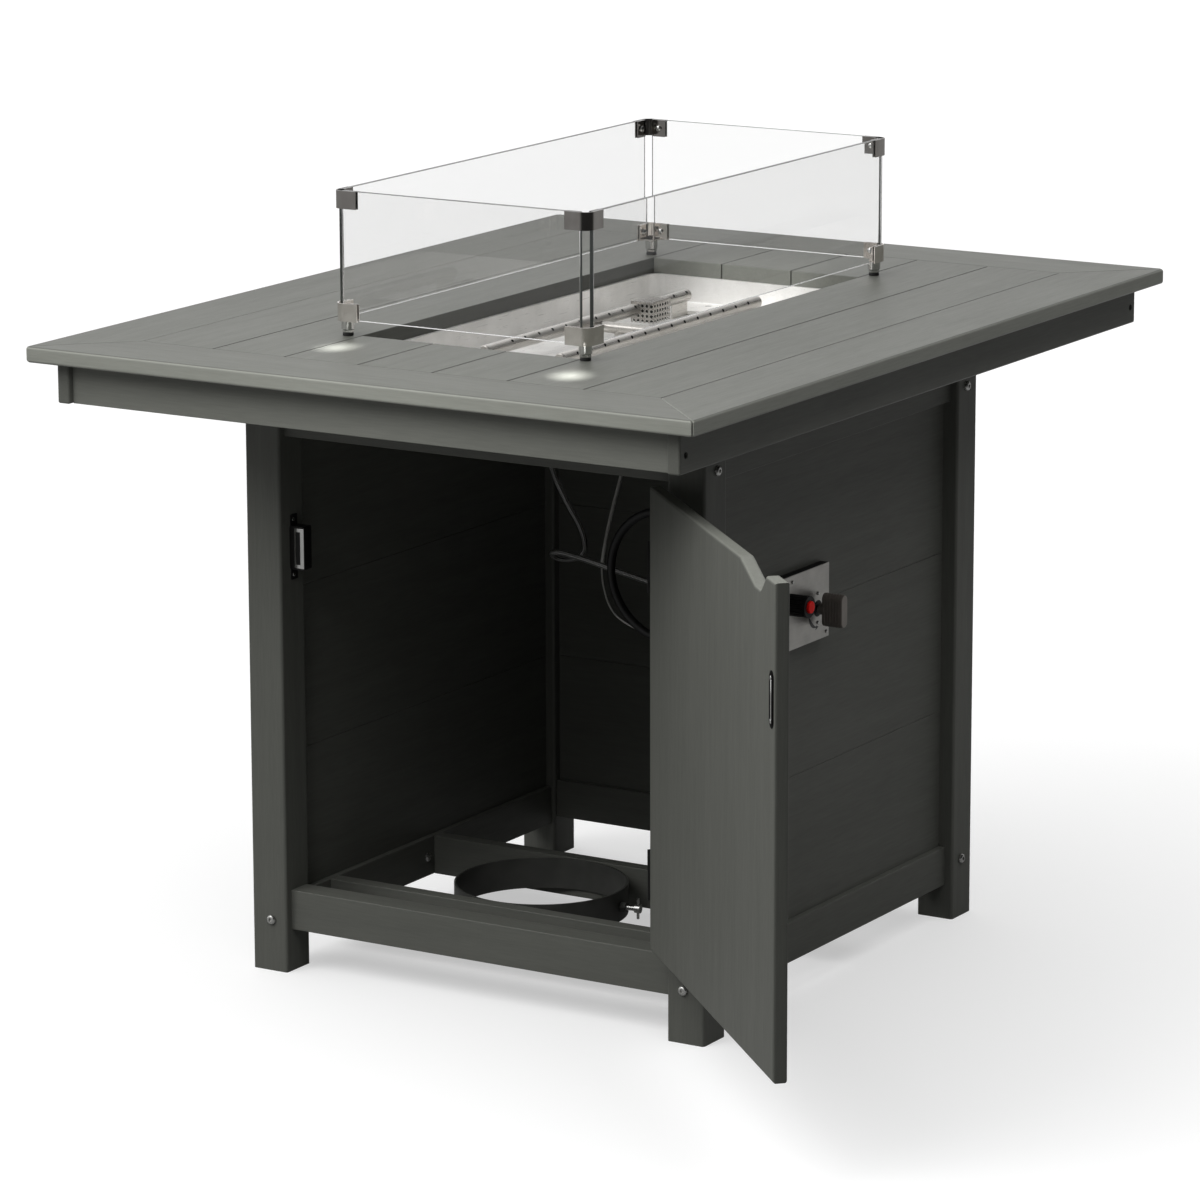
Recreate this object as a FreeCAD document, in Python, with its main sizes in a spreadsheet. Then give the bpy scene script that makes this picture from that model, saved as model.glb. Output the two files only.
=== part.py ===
# Fire pit table: a board top round a gas burner pan, on a four-leg cabinet that holds the gas tank.
# Frame: millimetres, +Z up, origin on the floor under the middle of the top.
# -X is the door side, +X the rear, -Y the control side and +Y the far side.
import FreeCAD, Part
import Sketcher
import math
import os
from types import SimpleNamespace

V = FreeCAD.Vector
UP = V(0, 0, 1)

DIMENSIONS = {
    # board top
    "top_length": 1348, "top_width": 1033, "top_height": 914, "board_thick": 22,
    "border_width": 112, "deck_rows": 7, "opening_rows": 3, "board_gap": 1.2,
    "edge_round": 4, "seam_round": 1.2, "opening_length": 762, "opening_shift": 3,
    # aprons under the rim of the top
    "apron_tall": 56, "apron_thick": 19, "apron_half_y": 483, "apron_half_x": 640,
    "long_apron_half_run": 649, "apron_round": 3,
    # battens that the boards are screwed to
    "batten_wide": 38, "batten_tall": 38, "batten_inner_x": 388,
    # legs and rails
    "leg_size": 57, "leg_half_x": 384, "leg_half_y": 365, "rail_thick": 38, "rail_tall": 57,
    "rail_inset": 13, "long_rail_low": 50, "long_rail_high": 759,
    "short_rail_low": 60, "short_rail_high": 761.5,
    # rails across the floor of the cabinet and the ring that holds the tank's foot
    "tank_rail_thick": 22, "ring_x": -120, "ring_y": 54, "ring_outer": 246, "ring_band": 3,
    "ring_low": 62, "ring_tall": 44, "ring_screw_angle": -82, "ring_screw_z": 82,
    "ring_screw_size": 8,
    # side panels, each of three boards held in grooves of the rails
    "panel_inset": 10, "panel_thick": 19, "panel_groove": 12,
    "panel_seam_one": 308, "panel_seam_two": 540,
    # door, modelled as it stands open
    "pin_x": -386, "pin_y": -306.5, "door_open": 135.4, "door_face": 3, "door_thick": 19,
    "door_start": 1, "door_end": 601, "door_low": 129, "door_high": 759.5, "door_round": 4,
    "notch_near": 42, "notch_near_foot": 66, "notch_far_foot": 92, "notch_far": 160,
    "notch_deep": 22.5, "notch_round": 13,
    # hinges
    "leaf_set": 0.5, "hinge_tall": 70, "hinge_low_z": 198, "hinge_high_z": 617, "leaf_thick": 2,
    "leaf_wide": 25, "knuckle_outer": 7.2, "pin_size": 3.4, "pin_clearance": 0.05,
    # magnetic catch and its strike plate
    "catch_z": 604, "catch_tall": 61, "catch_wide": 24, "catch_deep": 18, "catch_slit": 11.5,
    "strike_wide": 15, "strike_tall": 66, "strike_thick": 1.5, "strike_from_edge": 5.5,
    "strike_z": 612.5,
    # control panel
    "plate_x": -104, "plate_z": 543.5, "plate_wide": 150, "plate_tall": 103, "plate_thick": 1.5,
    "housing_stand": 11.5, "housing_margin": 12, "housing_lip": 4, "housing_wall": 2.5, "housing_deep": 42,
    "knob_x": -60, "knob_z": 536, "stem_size": 8, "knob_neck": 16, "knob_wide": 17,
    "knob_tall": 46, "knob_grip": 30, "knob_gap": 11, "knob_press": 3,
    "igniter_x": -140, "igniter_z": 557, "igniter_size": 30, "igniter_stand": 32,
    "button_size": 17, "button_stand": 3.5, "button_clearance": 0.4,
    # gas lines
    "hose_size": 12, "hose_loop_radius": 93, "flex_size": 8, "sleeve_size": 5, "wire_size": 2.4,
    # burner pan
    "pan_wall": 1.5, "pan_deep": 40, "pan_inset": 3, "pan_corner": 22, "pan_flange": 6,
    "burner_size": 18, "burner_z": 882.6, "burner_half_y": 60, "burner_left": -250,
    "burner_right": 288, "burner_port": 3.2, "burner_port_pitch": 35.7, "burner_cross_x": 40,
    "burner_cross_size": 16, "burner_cross_drop": 8, "burner_wall": 1.5, "inlet_y": 24,
    "cover_x": 141, "cover_y": 29.5, "cover_wide": 45, "cover_deep": 33, "cover_tall": 28,
    "cover_sheet": 0.8, "cover_hole": 5, "cover_hole_pitch": 10,
    # glass guard
    "guard_shift_x": 12, "guard_shift_y": 3.7, "guard_half_x": 410.8, "guard_half_y": 201.5,
    "glass_low": 937, "glass_tall": 175.5, "glass_thick": 6, "glass_short": 14.2,
    "clip_leg": 37.5, "clip_tall": 24.5, "clip_sheet": 1.5, "clip_round": 14,
    "clip_web": 2, "clip_web_run": 20.5,
    "foot_inset": 14, "foot_size": 18, "foot_nut": 13, "foot_nut_tall": 5,
    "foot_pad": 14, "foot_pad_tall": 4,
    # fasteners
    "bolt_size": 8, "bolt_hole": 8.6, "bolt_head": 14, "bolt_head_tall": 4.5,
    "bolt_low_x_z": 74, "bolt_low_y_z": 86, "bolt_high_y_z": 779,
    "apron_screw_x": 634, "apron_screw_z": 860, "screw_hole": 9, "screw_sunk": 4,
    "plate_screw_size": 5.2, "plate_screw_tall": 1.8,
}

doc = FreeCAD.newDocument("fire_pit_table")
sheet = doc.addObject("Spreadsheet::Sheet", "dims")
for row, (alias, number) in enumerate(DIMENSIONS.items(), start=1):
    sheet.set(f"A{row}", alias)
    sheet.set(f"B{row}", str(number))
    sheet.setAlias(f"B{row}", alias)
doc.recompute()
d = SimpleNamespace(**{alias: float(sheet.get(alias)) for alias in DIMENSIONS})

nodes = []


# Helpers

def keep(piece, label):
    """Name a finished sub-part, so that it is checked and written as parts/LABEL.step."""
    piece.Label = label
    nodes.append(piece)
    return piece


def bind(item, **expressions):
    """Bind properties of an object to formulas over the dimension sheet."""
    for name, formula in expressions.items():
        item.setExpression(name, formula)


def put(item, x, y, z):
    """Bind the place of an object, one formula or number an axis."""
    for axis, formula in zip("xyz", (x, y, z)):
        item.setExpression(f"Placement.Base.{axis}", str(formula))


def origin_plane(body, role):
    return next(plane for plane in body.Origin.OriginFeatures if plane.Role == role)


def soften(body, feature, radius, chosen):
    """Round the edges of a feature for which chosen(edge) is true."""
    doc.recompute()
    names = [f"Edge{i + 1}" for i, edge in enumerate(feature.Shape.Edges) if chosen(edge)]
    fillet = body.newObject("PartDesign::Fillet", body.Name + "_round")
    fillet.Base = (feature, names)
    bind(fillet, Radius=radius)
    body.Tip = fillet
    return fillet


def straight_along(axis):
    """A test for edges that run along one axis."""
    def test(edge):
        run = edge.Vertexes[-1].Point - edge.Vertexes[0].Point
        return run.Length > 0 and abs(run[axis]) > 0.99 * run.Length
    return test


def any_edge(edge):
    return True


def stock(name, sizes, low, radius="dims.seam_round", chosen=any_edge):
    """A length of board or square stock with softened edges, from its low corner."""
    body = doc.addObject("PartDesign::Body", name)
    blank = body.newObject("PartDesign::AdditiveBox", name + "_blank")
    bind(blank, Length=sizes[0], Width=sizes[1], Height=sizes[2])
    soften(body, blank, radius, chosen)
    put(body, *low)
    return body


def bar(label, sizes, low, radius="dims.seam_round", chosen=any_edge):
    """Stock that is a sub-part as it is."""
    return keep(stock(label, sizes, low, radius, chosen), label)


def outline(body, role, corners, name):
    """A closed sketch of straight sides whose corners are bound to the sheet."""
    sketch = body.newObject("Sketcher::SketchObject", f"{body.Name}_{name}")
    sketch.AttachmentSupport = [(origin_plane(body, role), "")]
    sketch.MapMode = "FlatFace"
    count = len(corners)
    rough = [V(10 * math.cos(i), 10 * math.sin(i), 0) for i in range(count)]
    for i in range(count):
        sketch.addGeometry(Part.LineSegment(rough[i], rough[(i + 1) % count]))
    for i in range(count):
        sketch.addConstraint(Sketcher.Constraint("Coincident", i, 2, (i + 1) % count, 1))
    for i, (across, along) in enumerate(corners):
        for kind, formula in (("DistanceX", across), ("DistanceY", along)):
            number = sketch.addConstraint(Sketcher.Constraint(kind, -1, 1, i, 1, 1.0))
            sketch.setExpression(f"Constraints[{number}]", formula)
    return sketch


def pad(body, sketch, height, name="pad"):
    feature = body.newObject("PartDesign::Pad", f"{body.Name}_{name}")
    feature.Profile = sketch
    bind(feature, Length=height)
    body.Tip = feature
    return feature


def block(name, sizes, low):
    """A plain block for use in cuts and fuses."""
    item = doc.addObject("Part::Box", name)
    bind(item, Length=sizes[0], Width=sizes[1], Height=sizes[2])
    put(item, *low)
    return item


TURN = {
    "+z": FreeCAD.Rotation(),
    "-z": FreeCAD.Rotation(V(1, 0, 0), 180),
    "+x": FreeCAD.Rotation(V(0, 1, 0), 90),
    "-x": FreeCAD.Rotation(V(0, 1, 0), -90),
    "+y": FreeCAD.Rotation(V(1, 0, 0), -90),
    "-y": FreeCAD.Rotation(V(1, 0, 0), 90),
}


def rod(name, radius, length, start, way="+z"):
    """A cylinder from the middle of its first face, along one of the axes."""
    item = doc.addObject("Part::Cylinder", name)
    item.Placement.Rotation = TURN[way]
    bind(item, Radius=radius, Height=length)
    put(item, *start)
    return item


def fuse(name, *pieces):
    item = doc.addObject("Part::MultiFuse", name)
    item.Shapes = list(pieces)
    return item


def cut(name, base, *tools):
    item = doc.addObject("Part::Cut", name)
    item.Base = base
    item.Tool = tools[0] if len(tools) == 1 else fuse(name + "_tools", *tools)
    return item


def group(label, pieces):
    """Separate solids kept as one node."""
    item = doc.addObject("Part::Compound", label)
    item.Links = list(pieces)
    return keep(item, label)


def solid_node(label, shape):
    """A node whose shape is worked out from the sheet in this script."""
    item = doc.addObject("Part::Feature", label)
    item.Shape = shape
    return keep(item, label)


# The board top

def border_boards():
    """Four mitred boards round the rim of the top."""
    half_x, half_y = "dims.top_length / 2", "dims.top_width / 2"
    inner_x = "dims.top_length / 2 - dims.border_width"
    inner_y = "dims.top_width / 2 - dims.border_width"
    gap = "dims.board_gap / 2"
    runs = {
        "border_board_control_side": [
            (f"-({half_x}) + {gap}", f"-({half_y})"), (f"{half_x} - {gap}", f"-({half_y})"),
            (f"{inner_x} - {gap}", f"-({inner_y})"), (f"-({inner_x}) + {gap}", f"-({inner_y})")],
        "border_board_far_side": [
            (f"{half_x} - {gap}", half_y), (f"-({half_x}) + {gap}", half_y),
            (f"-({inner_x}) + {gap}", inner_y), (f"{inner_x} - {gap}", inner_y)],
        "border_board_door_side": [
            (f"-({half_x})", f"{half_y} - {gap}"), (f"-({half_x})", f"-({half_y}) + {gap}"),
            (f"-({inner_x})", f"-({inner_y}) + {gap}"), (f"-({inner_x})", f"{inner_y} - {gap}")],
        "border_board_rear_side": [
            (half_x, f"-({half_y}) + {gap}"), (half_x, f"{half_y} - {gap}"),
            (inner_x, f"{inner_y} - {gap}"), (inner_x, f"-({inner_y}) + {gap}")],
    }
    for label, corners in runs.items():
        body = doc.addObject("PartDesign::Body", label)
        slab = pad(body, outline(body, "XY_Plane", corners, "outline"), "dims.board_thick")
        doc.recompute()
        outer = {"control": (1, -d.top_width / 2), "far": (1, d.top_width / 2),
                 "door": (0, -d.top_length / 2), "rear": (0, d.top_length / 2)}
        axis, edge_at = outer[label.split("_")[2]]

        def on_rim(edge):
            return all(abs(v.Point[axis] - edge_at) < 0.01 for v in edge.Vertexes) and \
                abs(edge.Vertexes[0].Z - edge.Vertexes[-1].Z) < 0.01

        rim = soften(body, slab, "dims.edge_round", on_rim)

        def on_seam(edge):
            level = all(abs(v.Z - d.board_thick) < 0.01 for v in edge.Vertexes)
            return level and edge.Length > 40 and \
                not all(abs(abs(v.Point[axis] - edge_at) - d.edge_round) < 0.5 for v in edge.Vertexes)

        soften(body, rim, "dims.seam_round", on_seam)
        put(body, 0, 0, "dims.top_height - dims.board_thick")
        keep(body, label)


def deck_boards():
    """Seven rows inside the border: two full rows each side and three cut by the opening."""
    inner_x = "(dims.top_length / 2 - dims.border_width)"
    pitch = "((dims.top_width - 2 * dims.border_width) / dims.deck_rows)"
    low_y = "-(dims.top_width / 2 - dims.border_width)"
    low_z = "dims.top_height - dims.board_thick"
    half_gap = "dims.board_gap / 2"
    open_low = "(dims.opening_shift - dims.opening_length / 2)"
    open_high = "(dims.opening_shift + dims.opening_length / 2)"
    rows = int(d.deck_rows)
    side_rows = (rows - int(d.opening_rows)) // 2
    full = (f"-{inner_x} + {half_gap}", f"2 * {inner_x} - dims.board_gap")
    sets = {
        "deck_boards_control_side": (range(side_rows), full),
        "deck_boards_far_side": (range(rows - side_rows, rows), full),
        "deck_boards_door_end": (range(side_rows, rows - side_rows),
                                 (f"-{inner_x} + {half_gap}", f"{open_low} + {inner_x} - {half_gap}")),
        "deck_boards_rear_end": (range(side_rows, rows - side_rows),
                                 (open_high, f"{inner_x} - {open_high} - {half_gap}")),
    }
    for label, (numbers, (low_x, length)) in sets.items():
        sizes = (length, f"{pitch} - dims.board_gap", "dims.board_thick")
        group(label, [stock(f"{label}_row_{row + 1}", sizes,
                            (low_x, f"{low_y} + {row} * {pitch} + {half_gap}", low_z))
                      for row in numbers])


def aprons_and_battens():
    """Boards on edge under the rim, and the two battens that tie the deck boards together."""
    low_z = "dims.top_height - dims.board_thick - dims.apron_tall"
    for side, way, low_y in (("control", "-", "-dims.apron_half_y"),
                             ("far", "", "dims.apron_half_y - dims.apron_thick")):
        name = f"apron_{side}_side"
        sizes = ("2 * dims.long_apron_half_run", "dims.apron_thick", "dims.apron_tall")
        board = stock(name + "_board", sizes, ("-dims.long_apron_half_run", low_y, low_z), "dims.apron_round")
        holes = [rod(f"{name}_screw_hole_{end}", "dims.screw_hole / 2", "dims.apron_thick",
                     (f"{end}dims.apron_screw_x", f"{way}(dims.apron_half_y - dims.screw_sunk)",
                      "dims.apron_screw_z"), "-y" if way else "+y") for end in ("-", "+")]
        keep(cut(name, board, *holes), name)
    inner_y = "(dims.apron_half_y - dims.apron_thick)"
    for side, low_x in (("door", "-dims.apron_half_x"), ("rear", "dims.apron_half_x - dims.apron_thick")):
        bar(f"apron_{side}_side", ("dims.apron_thick", f"2 * {inner_y}", "dims.apron_tall"),
            (low_x, f"-{inner_y}", low_z))
    batten_z = "dims.top_height - dims.board_thick - dims.batten_tall"
    sizes = ("dims.batten_wide", f"2 * {inner_y}", "dims.batten_tall")
    group("cross_battens", [stock(f"cross_batten_{side}_side", sizes, (low_x, f"-{inner_y}", batten_z))
                            for side, low_x in (("door", "-dims.batten_inner_x - dims.batten_wide"),
                                                ("rear", "dims.batten_inner_x"))])


# Legs, rails and panels

def legs():
    """Four square legs, drilled for the bolts that hold the rails."""
    for side_x, word_x in ((-1, "door"), (1, "rear")):
        for side_y, word_y in ((-1, "control"), (1, "far")):
            label = f"leg_{word_x}_{word_y}"
            body = doc.addObject("PartDesign::Body", label)
            post = body.newObject("PartDesign::AdditiveBox", label + "_block")
            bind(post, Length="dims.leg_size", Width="dims.leg_size",
                 Height="dims.top_height - dims.board_thick")
            feature = soften(body, post, "dims.edge_round", straight_along(2))
            for drill, (role, across, tall) in enumerate((
                    ("YZ_Plane", "leg_bolt_y", "dims.bolt_low_x_z"),
                    ("XZ_Plane", "leg_bolt_x", "dims.bolt_low_y_z"),
                    ("XZ_Plane", "leg_bolt_x", "dims.bolt_high_y_z"))):
                hole = body.newObject("Sketcher::SketchObject", f"{label}_drill_{drill}")
                hole.AttachmentSupport = [(origin_plane(body, role), "")]
                hole.MapMode = "FlatFace"
                hole.addGeometry(Part.Circle(V(5, 5, 0), UP, 1))
                side = side_y if across == "leg_bolt_y" else side_x
                inset = "dims.rail_inset + dims.rail_thick / 2"
                from_low = inset if side < 0 else f"dims.leg_size - ({inset})"
                for kind, formula in (("DistanceX", from_low), ("DistanceY", tall)):
                    number = hole.addConstraint(Sketcher.Constraint(kind, -1, 1, 0, 3, 5.0))
                    hole.setExpression(f"Constraints[{number}]", formula)
                number = hole.addConstraint(Sketcher.Constraint("Radius", 0, 1.0))
                hole.setExpression(f"Constraints[{number}]", "dims.bolt_hole / 2")
                bore = body.newObject("PartDesign::Pocket", f"{label}_bore_{drill}")
                bore.Profile = hole
                bore.Type = "ThroughAll"
                bore.Midplane = True
                body.Tip = bore
            low_x = "-dims.leg_half_x" if side_x < 0 else "dims.leg_half_x - dims.leg_size"
            low_y = "-dims.leg_half_y" if side_y < 0 else "dims.leg_half_y - dims.leg_size"
            put(body, low_x, low_y, 0)
            if label == "leg_door_control":
                leaf_y = "dims.pin_y - dims.door_face - dims.leaf_set"
                beds = [block(f"leg_bed_{word}", ("dims.leaf_wide", "dims.leaf_thick", "dims.hinge_tall"),
                              ("dims.pin_x", leaf_y, f"dims.hinge_{word}_z")) for word in ("low", "high")]
                body.Label = label + "_post"
                keep(cut(label, body, *beds), label)
            else:
                keep(body, label)


def rails():
    """Rails between the legs: two levels on each side, with grooves where a panel stands."""
    inner_x = "(dims.leg_half_x - dims.leg_size)"
    inner_y = "(dims.leg_half_y - dims.leg_size)"
    outer_x = "(dims.leg_half_x - dims.rail_inset)"
    outer_y = "(dims.leg_half_y - dims.rail_inset)"
    sides = (
        ("control", "long", f"-{outer_y}", f"-{outer_y} + dims.panel_inset"),
        ("far", "long", f"{outer_y} - dims.rail_thick", f"{outer_y} - dims.panel_inset - dims.panel_thick"),
        ("door", "short", f"-{outer_x}", None),
        ("rear", "short", f"{outer_x} - dims.rail_thick", f"{outer_x} - dims.panel_inset - dims.panel_thick"))
    for side, kind, low, groove_low in sides:
        for word, level in (("bottom", "low"), ("top", "high")):
            label = f"{word}_rail_{side}_side"
            low_z = f"dims.{kind}_rail_{level}"
            groove_z = f"{low_z} + dims.rail_tall - dims.panel_groove" if level == "low" else low_z
            if kind == "long":
                sizes = (f"2 * {inner_x}", "dims.rail_thick", "dims.rail_tall")
                place = (f"-{inner_x}", low, low_z)
                groove = ((sizes[0], "dims.panel_thick", "dims.panel_groove"),
                          (f"-{inner_x}", groove_low, groove_z))
            else:
                sizes = ("dims.rail_thick", f"2 * {inner_y}", "dims.rail_tall")
                place = (low, f"-{inner_y}", low_z)
                groove = (("dims.panel_thick", sizes[1], "dims.panel_groove"),
                          (groove_low, f"-{inner_y}", groove_z))
            along = straight_along(0 if kind == "long" else 1)
            rail = stock(label + "_stock", sizes, place, chosen=along)
            if groove_low is None:
                keep(rail, label)
            else:
                keep(cut(label, rail, block(label + "_groove", *groove)), label)


def panel(label, sizes, low_x, low_y, low_z, high_z, axis, opening=None):
    """Three boards edge to edge along one axis, a solid each, cut by the opening if there is one."""
    marks = [low_z, "dims.panel_seam_one", "dims.panel_seam_two", high_z]
    pieces = []
    for i in range(3):
        name = f"{label}_board_{i + 1}"
        tall = f"{marks[i + 1]} - ({marks[i]})"
        board = stock(name, (*sizes, tall), (low_x, low_y, marks[i]), chosen=straight_along(axis))
        pieces.append(cut(name + "_cut", board, opening()) if opening and i else board)
    group(label, pieces)


def panels():
    inner_x = "(dims.leg_half_x - dims.leg_size)"
    inner_y = "(dims.leg_half_y - dims.leg_size)"
    outer_y = "(dims.leg_half_y - dims.rail_inset)"
    outer_x = "(dims.leg_half_x - dims.rail_inset)"
    long_low = "dims.long_rail_low + dims.rail_tall - dims.panel_groove"
    long_high = "dims.long_rail_high + dims.panel_groove"
    short_low = "dims.short_rail_low + dims.rail_tall - dims.panel_groove"
    short_high = "dims.short_rail_high + dims.panel_groove"

    def control_opening():
        wide = "dims.plate_wide - 2 * dims.housing_margin"
        tall = "dims.plate_tall - 2 * dims.housing_margin"
        return block("panel_opening", (wide, "3 * dims.panel_thick", tall),
                     (f"dims.plate_x - ({wide}) / 2", f"-{outer_y} - dims.panel_thick",
                      f"dims.plate_z - ({tall}) / 2"))

    run = (f"2 * {inner_x}", "dims.panel_thick")
    panel("panel_control_side", run, f"-{inner_x}", f"-{outer_y} + dims.panel_inset",
          long_low, long_high, 0, control_opening)
    panel("panel_far_side", run, f"-{inner_x}", f"{outer_y} - dims.panel_inset - dims.panel_thick",
          long_low, long_high, 0)
    panel("panel_rear_side", ("dims.panel_thick", f"2 * {inner_y}"),
          f"{outer_x} - dims.panel_inset - dims.panel_thick", f"-{inner_y}", short_low, short_high, 1)


def tank_holder():
    """Two rails across the cabinet floor and the ring between them, with its clamp screw."""
    inner_y = "(dims.leg_half_y - dims.rail_inset - dims.rail_thick)"
    for side, low_x in (("door", "dims.ring_x - dims.ring_outer / 2 - dims.tank_rail_thick"),
                        ("rear", "dims.ring_x + dims.ring_outer / 2")):
        bar(f"tank_rail_{side}_side", ("dims.tank_rail_thick", f"2 * {inner_y}", "dims.rail_tall"),
            (low_x, f"-{inner_y}", "dims.long_rail_low"), "dims.seam_round")
    outer = rod("ring_outside", "dims.ring_outer / 2", "dims.ring_tall",
                ("dims.ring_x", "dims.ring_y", "dims.ring_low"))
    inner = rod("ring_inside", "dims.ring_outer / 2 - dims.ring_band", "dims.ring_tall + 2",
                ("dims.ring_x", "dims.ring_y", "dims.ring_low - 1"))
    angle = math.radians(d.ring_screw_angle)
    out = V(math.cos(angle), math.sin(angle), 0)
    centre = V(d.ring_x, d.ring_y, d.ring_screw_z)
    nut = doc.addObject("Part::Feature", "ring_nut")
    nut.Shape = hexagon(centre + out * (d.ring_outer / 2 - 0.4), out, 14, 8)
    hole = doc.addObject("Part::Feature", "ring_hole")
    hole.Shape = Part.makeCylinder(d.ring_screw_size / 2 + 0.4, 40,
                                   centre + out * (d.ring_outer / 2 - 20), out)
    keep(cut("tank_ring", fuse("ring_with_nut", cut("ring_band_only", outer, inner), nut), hole), "tank_ring")
    shank = Part.makeCylinder(d.ring_screw_size / 2, 30.5, centre + out * (d.ring_outer / 2 - 2.5), out)
    grip = Part.makeCylinder(2, 30, centre + out * (d.ring_outer / 2 + 25) - V(0, 0, 15), UP)
    collar = Part.makeCylinder(6.5, 8, centre + out * (d.ring_outer / 2 + 21), out)
    solid_node("ring_clamp_screw", shank.fuse([grip, collar]).removeSplitter())


def hexagon(start, way, across, height):
    """A hexagonal prism by its width across flats, from the middle of its first face."""
    reach = across / math.sqrt(3)
    ring = [V(reach * math.cos(math.radians(60 * i)), reach * math.sin(math.radians(60 * i)), 0)
            for i in range(7)]
    prism = Part.Face(Part.makePolygon(ring)).extrude(V(0, 0, height))
    prism.Placement = FreeCAD.Placement(start, FreeCAD.Rotation(UP, way))
    return prism


# The door, its hinges and its catch

def door_place():
    """Placement of everything on the door: local X runs from the pin to the free edge, Y inwards."""
    turn = FreeCAD.Rotation(UP, d.door_open + 90)
    return FreeCAD.Placement(V(d.pin_x, d.pin_y, 0), turn)


def on_door(low, sizes):
    """A block in the door's own frame: along the door, away from its outer face, and up.
    The inward normal is to the right of the door's run, so Y is negative inside the slab."""
    return Part.makeBox(sizes[0], sizes[1], sizes[2], V(low[0], -low[1] - sizes[1], low[2]))


def door():
    """A single slab with a finger notch in its top edge and a bed for each hinge leaf."""
    body = doc.addObject("PartDesign::Body", "door_slab")
    low, high = "dims.door_low", "dims.door_high"
    corners = [("dims.door_start", low), ("dims.door_end", low), ("dims.door_end", high),
               ("dims.door_end - dims.notch_near", high),
               ("dims.door_end - dims.notch_near_foot", f"{high} - dims.notch_deep"),
               ("dims.door_end - dims.notch_far_foot", f"{high} - dims.notch_deep"),
               ("dims.door_end - dims.notch_far", high), ("dims.door_start", high)]
    sketch = outline(body, "XZ_Plane", corners, "outline")
    sketch.AttachmentOffset = FreeCAD.Placement(V(0, 0, d.door_face), FreeCAD.Rotation())
    slab = pad(body, sketch, "dims.door_thick")

    def notch_bottom(edge):
        upright_corner = abs(edge.Vertexes[0].Y - edge.Vertexes[-1].Y) > 1
        return upright_corner and abs(edge.Vertexes[0].Z - (d.door_high - d.notch_deep)) < 0.01

    rounded = soften(body, slab, "dims.notch_round", notch_bottom)

    def outer_line(edge):
        return abs(edge.Vertexes[0].Y - edge.Vertexes[-1].Y) < 0.01 and edge.Length > 5

    soften(body, rounded, "dims.door_round", outer_line)
    beds = [on_door((d.door_start - 1, 0, z), (1 + d.leaf_thick, d.door_face + d.leaf_wide, d.hinge_tall))
            for z in (d.hinge_low_z, d.hinge_high_z)]
    cutter = doc.addObject("Part::Feature", "hinge_beds")
    cutter.Shape = Part.makeCompound(beds)
    slab_cut = cut("door", body, cutter)
    slab_cut.Placement = door_place()
    keep(slab_cut, "door")


def hinges():
    """Two butt hinges: three knuckles and a fixed pin on the leg's leaf, two knuckles on the door's."""
    part_tall = d.hinge_tall / 5
    play = 0.15
    leg_halves, door_halves = [], []
    for low_z in (d.hinge_low_z, d.hinge_high_z):
        bore = Part.makeCylinder(d.pin_size / 2 + d.pin_clearance, d.hinge_tall + 2, V(0, 0, low_z - 1))
        leg_leaf = Part.makeBox(d.leaf_wide, d.leaf_thick, d.hinge_tall,
                                V(0, -d.door_face - d.leaf_set, low_z))
        door_leaf = on_door((d.door_start, 0, low_z), (d.leaf_thick, d.leaf_wide, d.hinge_tall))
        for i in range(5):
            start = V(0, 0, low_z + i * part_tall)
            barrel = Part.makeCylinder(d.knuckle_outer / 2, part_tall - 2 * play, start + V(0, 0, play))
            room = Part.makeCylinder(d.knuckle_outer / 2 + 0.4, part_tall, start)
            if i % 2 == 0:
                leg_leaf = leg_leaf.fuse(barrel)
                door_leaf = door_leaf.cut(room)
            else:
                door_leaf = door_leaf.fuse(barrel)
                leg_leaf = leg_leaf.cut(room)
        pin = Part.makeCylinder(d.pin_size / 2, d.hinge_tall + 1, V(0, 0, low_z))
        head = Part.makeCylinder(2.8, 2, V(0, 0, low_z + d.hinge_tall + 0.2))
        leg_halves += [leg_leaf.cut(bore).removeSplitter(), pin.fuse(head)]
        door_halves.append(door_leaf.cut(bore).removeSplitter())
    leg_node = solid_node("hinge_halves_leg", Part.makeCompound(leg_halves))
    leg_node.Placement = FreeCAD.Placement(V(d.pin_x, d.pin_y, 0), FreeCAD.Rotation())
    door_node = solid_node("hinge_halves_door", Part.makeCompound(door_halves))
    door_node.Placement = door_place()


def catch():
    """A magnetic catch on the far leg and the strike plate that meets it on the door."""
    inner_y = d.leg_half_y - d.leg_size
    front_x = d.pin_x + d.door_face + d.door_thick + d.strike_thick + 0.3
    low_z = d.catch_z - d.catch_tall / 2
    case = Part.makeBox(d.catch_deep, d.catch_wide, d.catch_tall, V(front_x, inner_y - d.catch_wide, low_z))
    case = case.makeFillet(2.5, [e for e in case.Edges if straight_along(0)(e)])
    slit = Part.makeBox(2, 1.4, d.catch_tall - 14, V(front_x - 1, inner_y - d.catch_slit, low_z + 7))
    case = case.cut(slit)
    flange = Part.makeBox(d.catch_deep - 4, 2, d.catch_tall + 30, V(front_x + 2, inner_y - 2, low_z - 15))
    solid_node("magnetic_catch", case.fuse(flange).removeSplitter())
    strike = on_door((d.door_end - d.strike_from_edge - d.strike_wide, d.door_face + d.door_thick,
                      d.strike_z - d.strike_tall / 2), (d.strike_wide, d.strike_thick, d.strike_tall))
    strike = strike.makeFillet(d.strike_wide / 2 - 0.1, [e for e in strike.Edges if straight_along(1)(e)])
    node = solid_node("strike_plate", strike)
    node.Placement = door_place()


# The control panel

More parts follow.
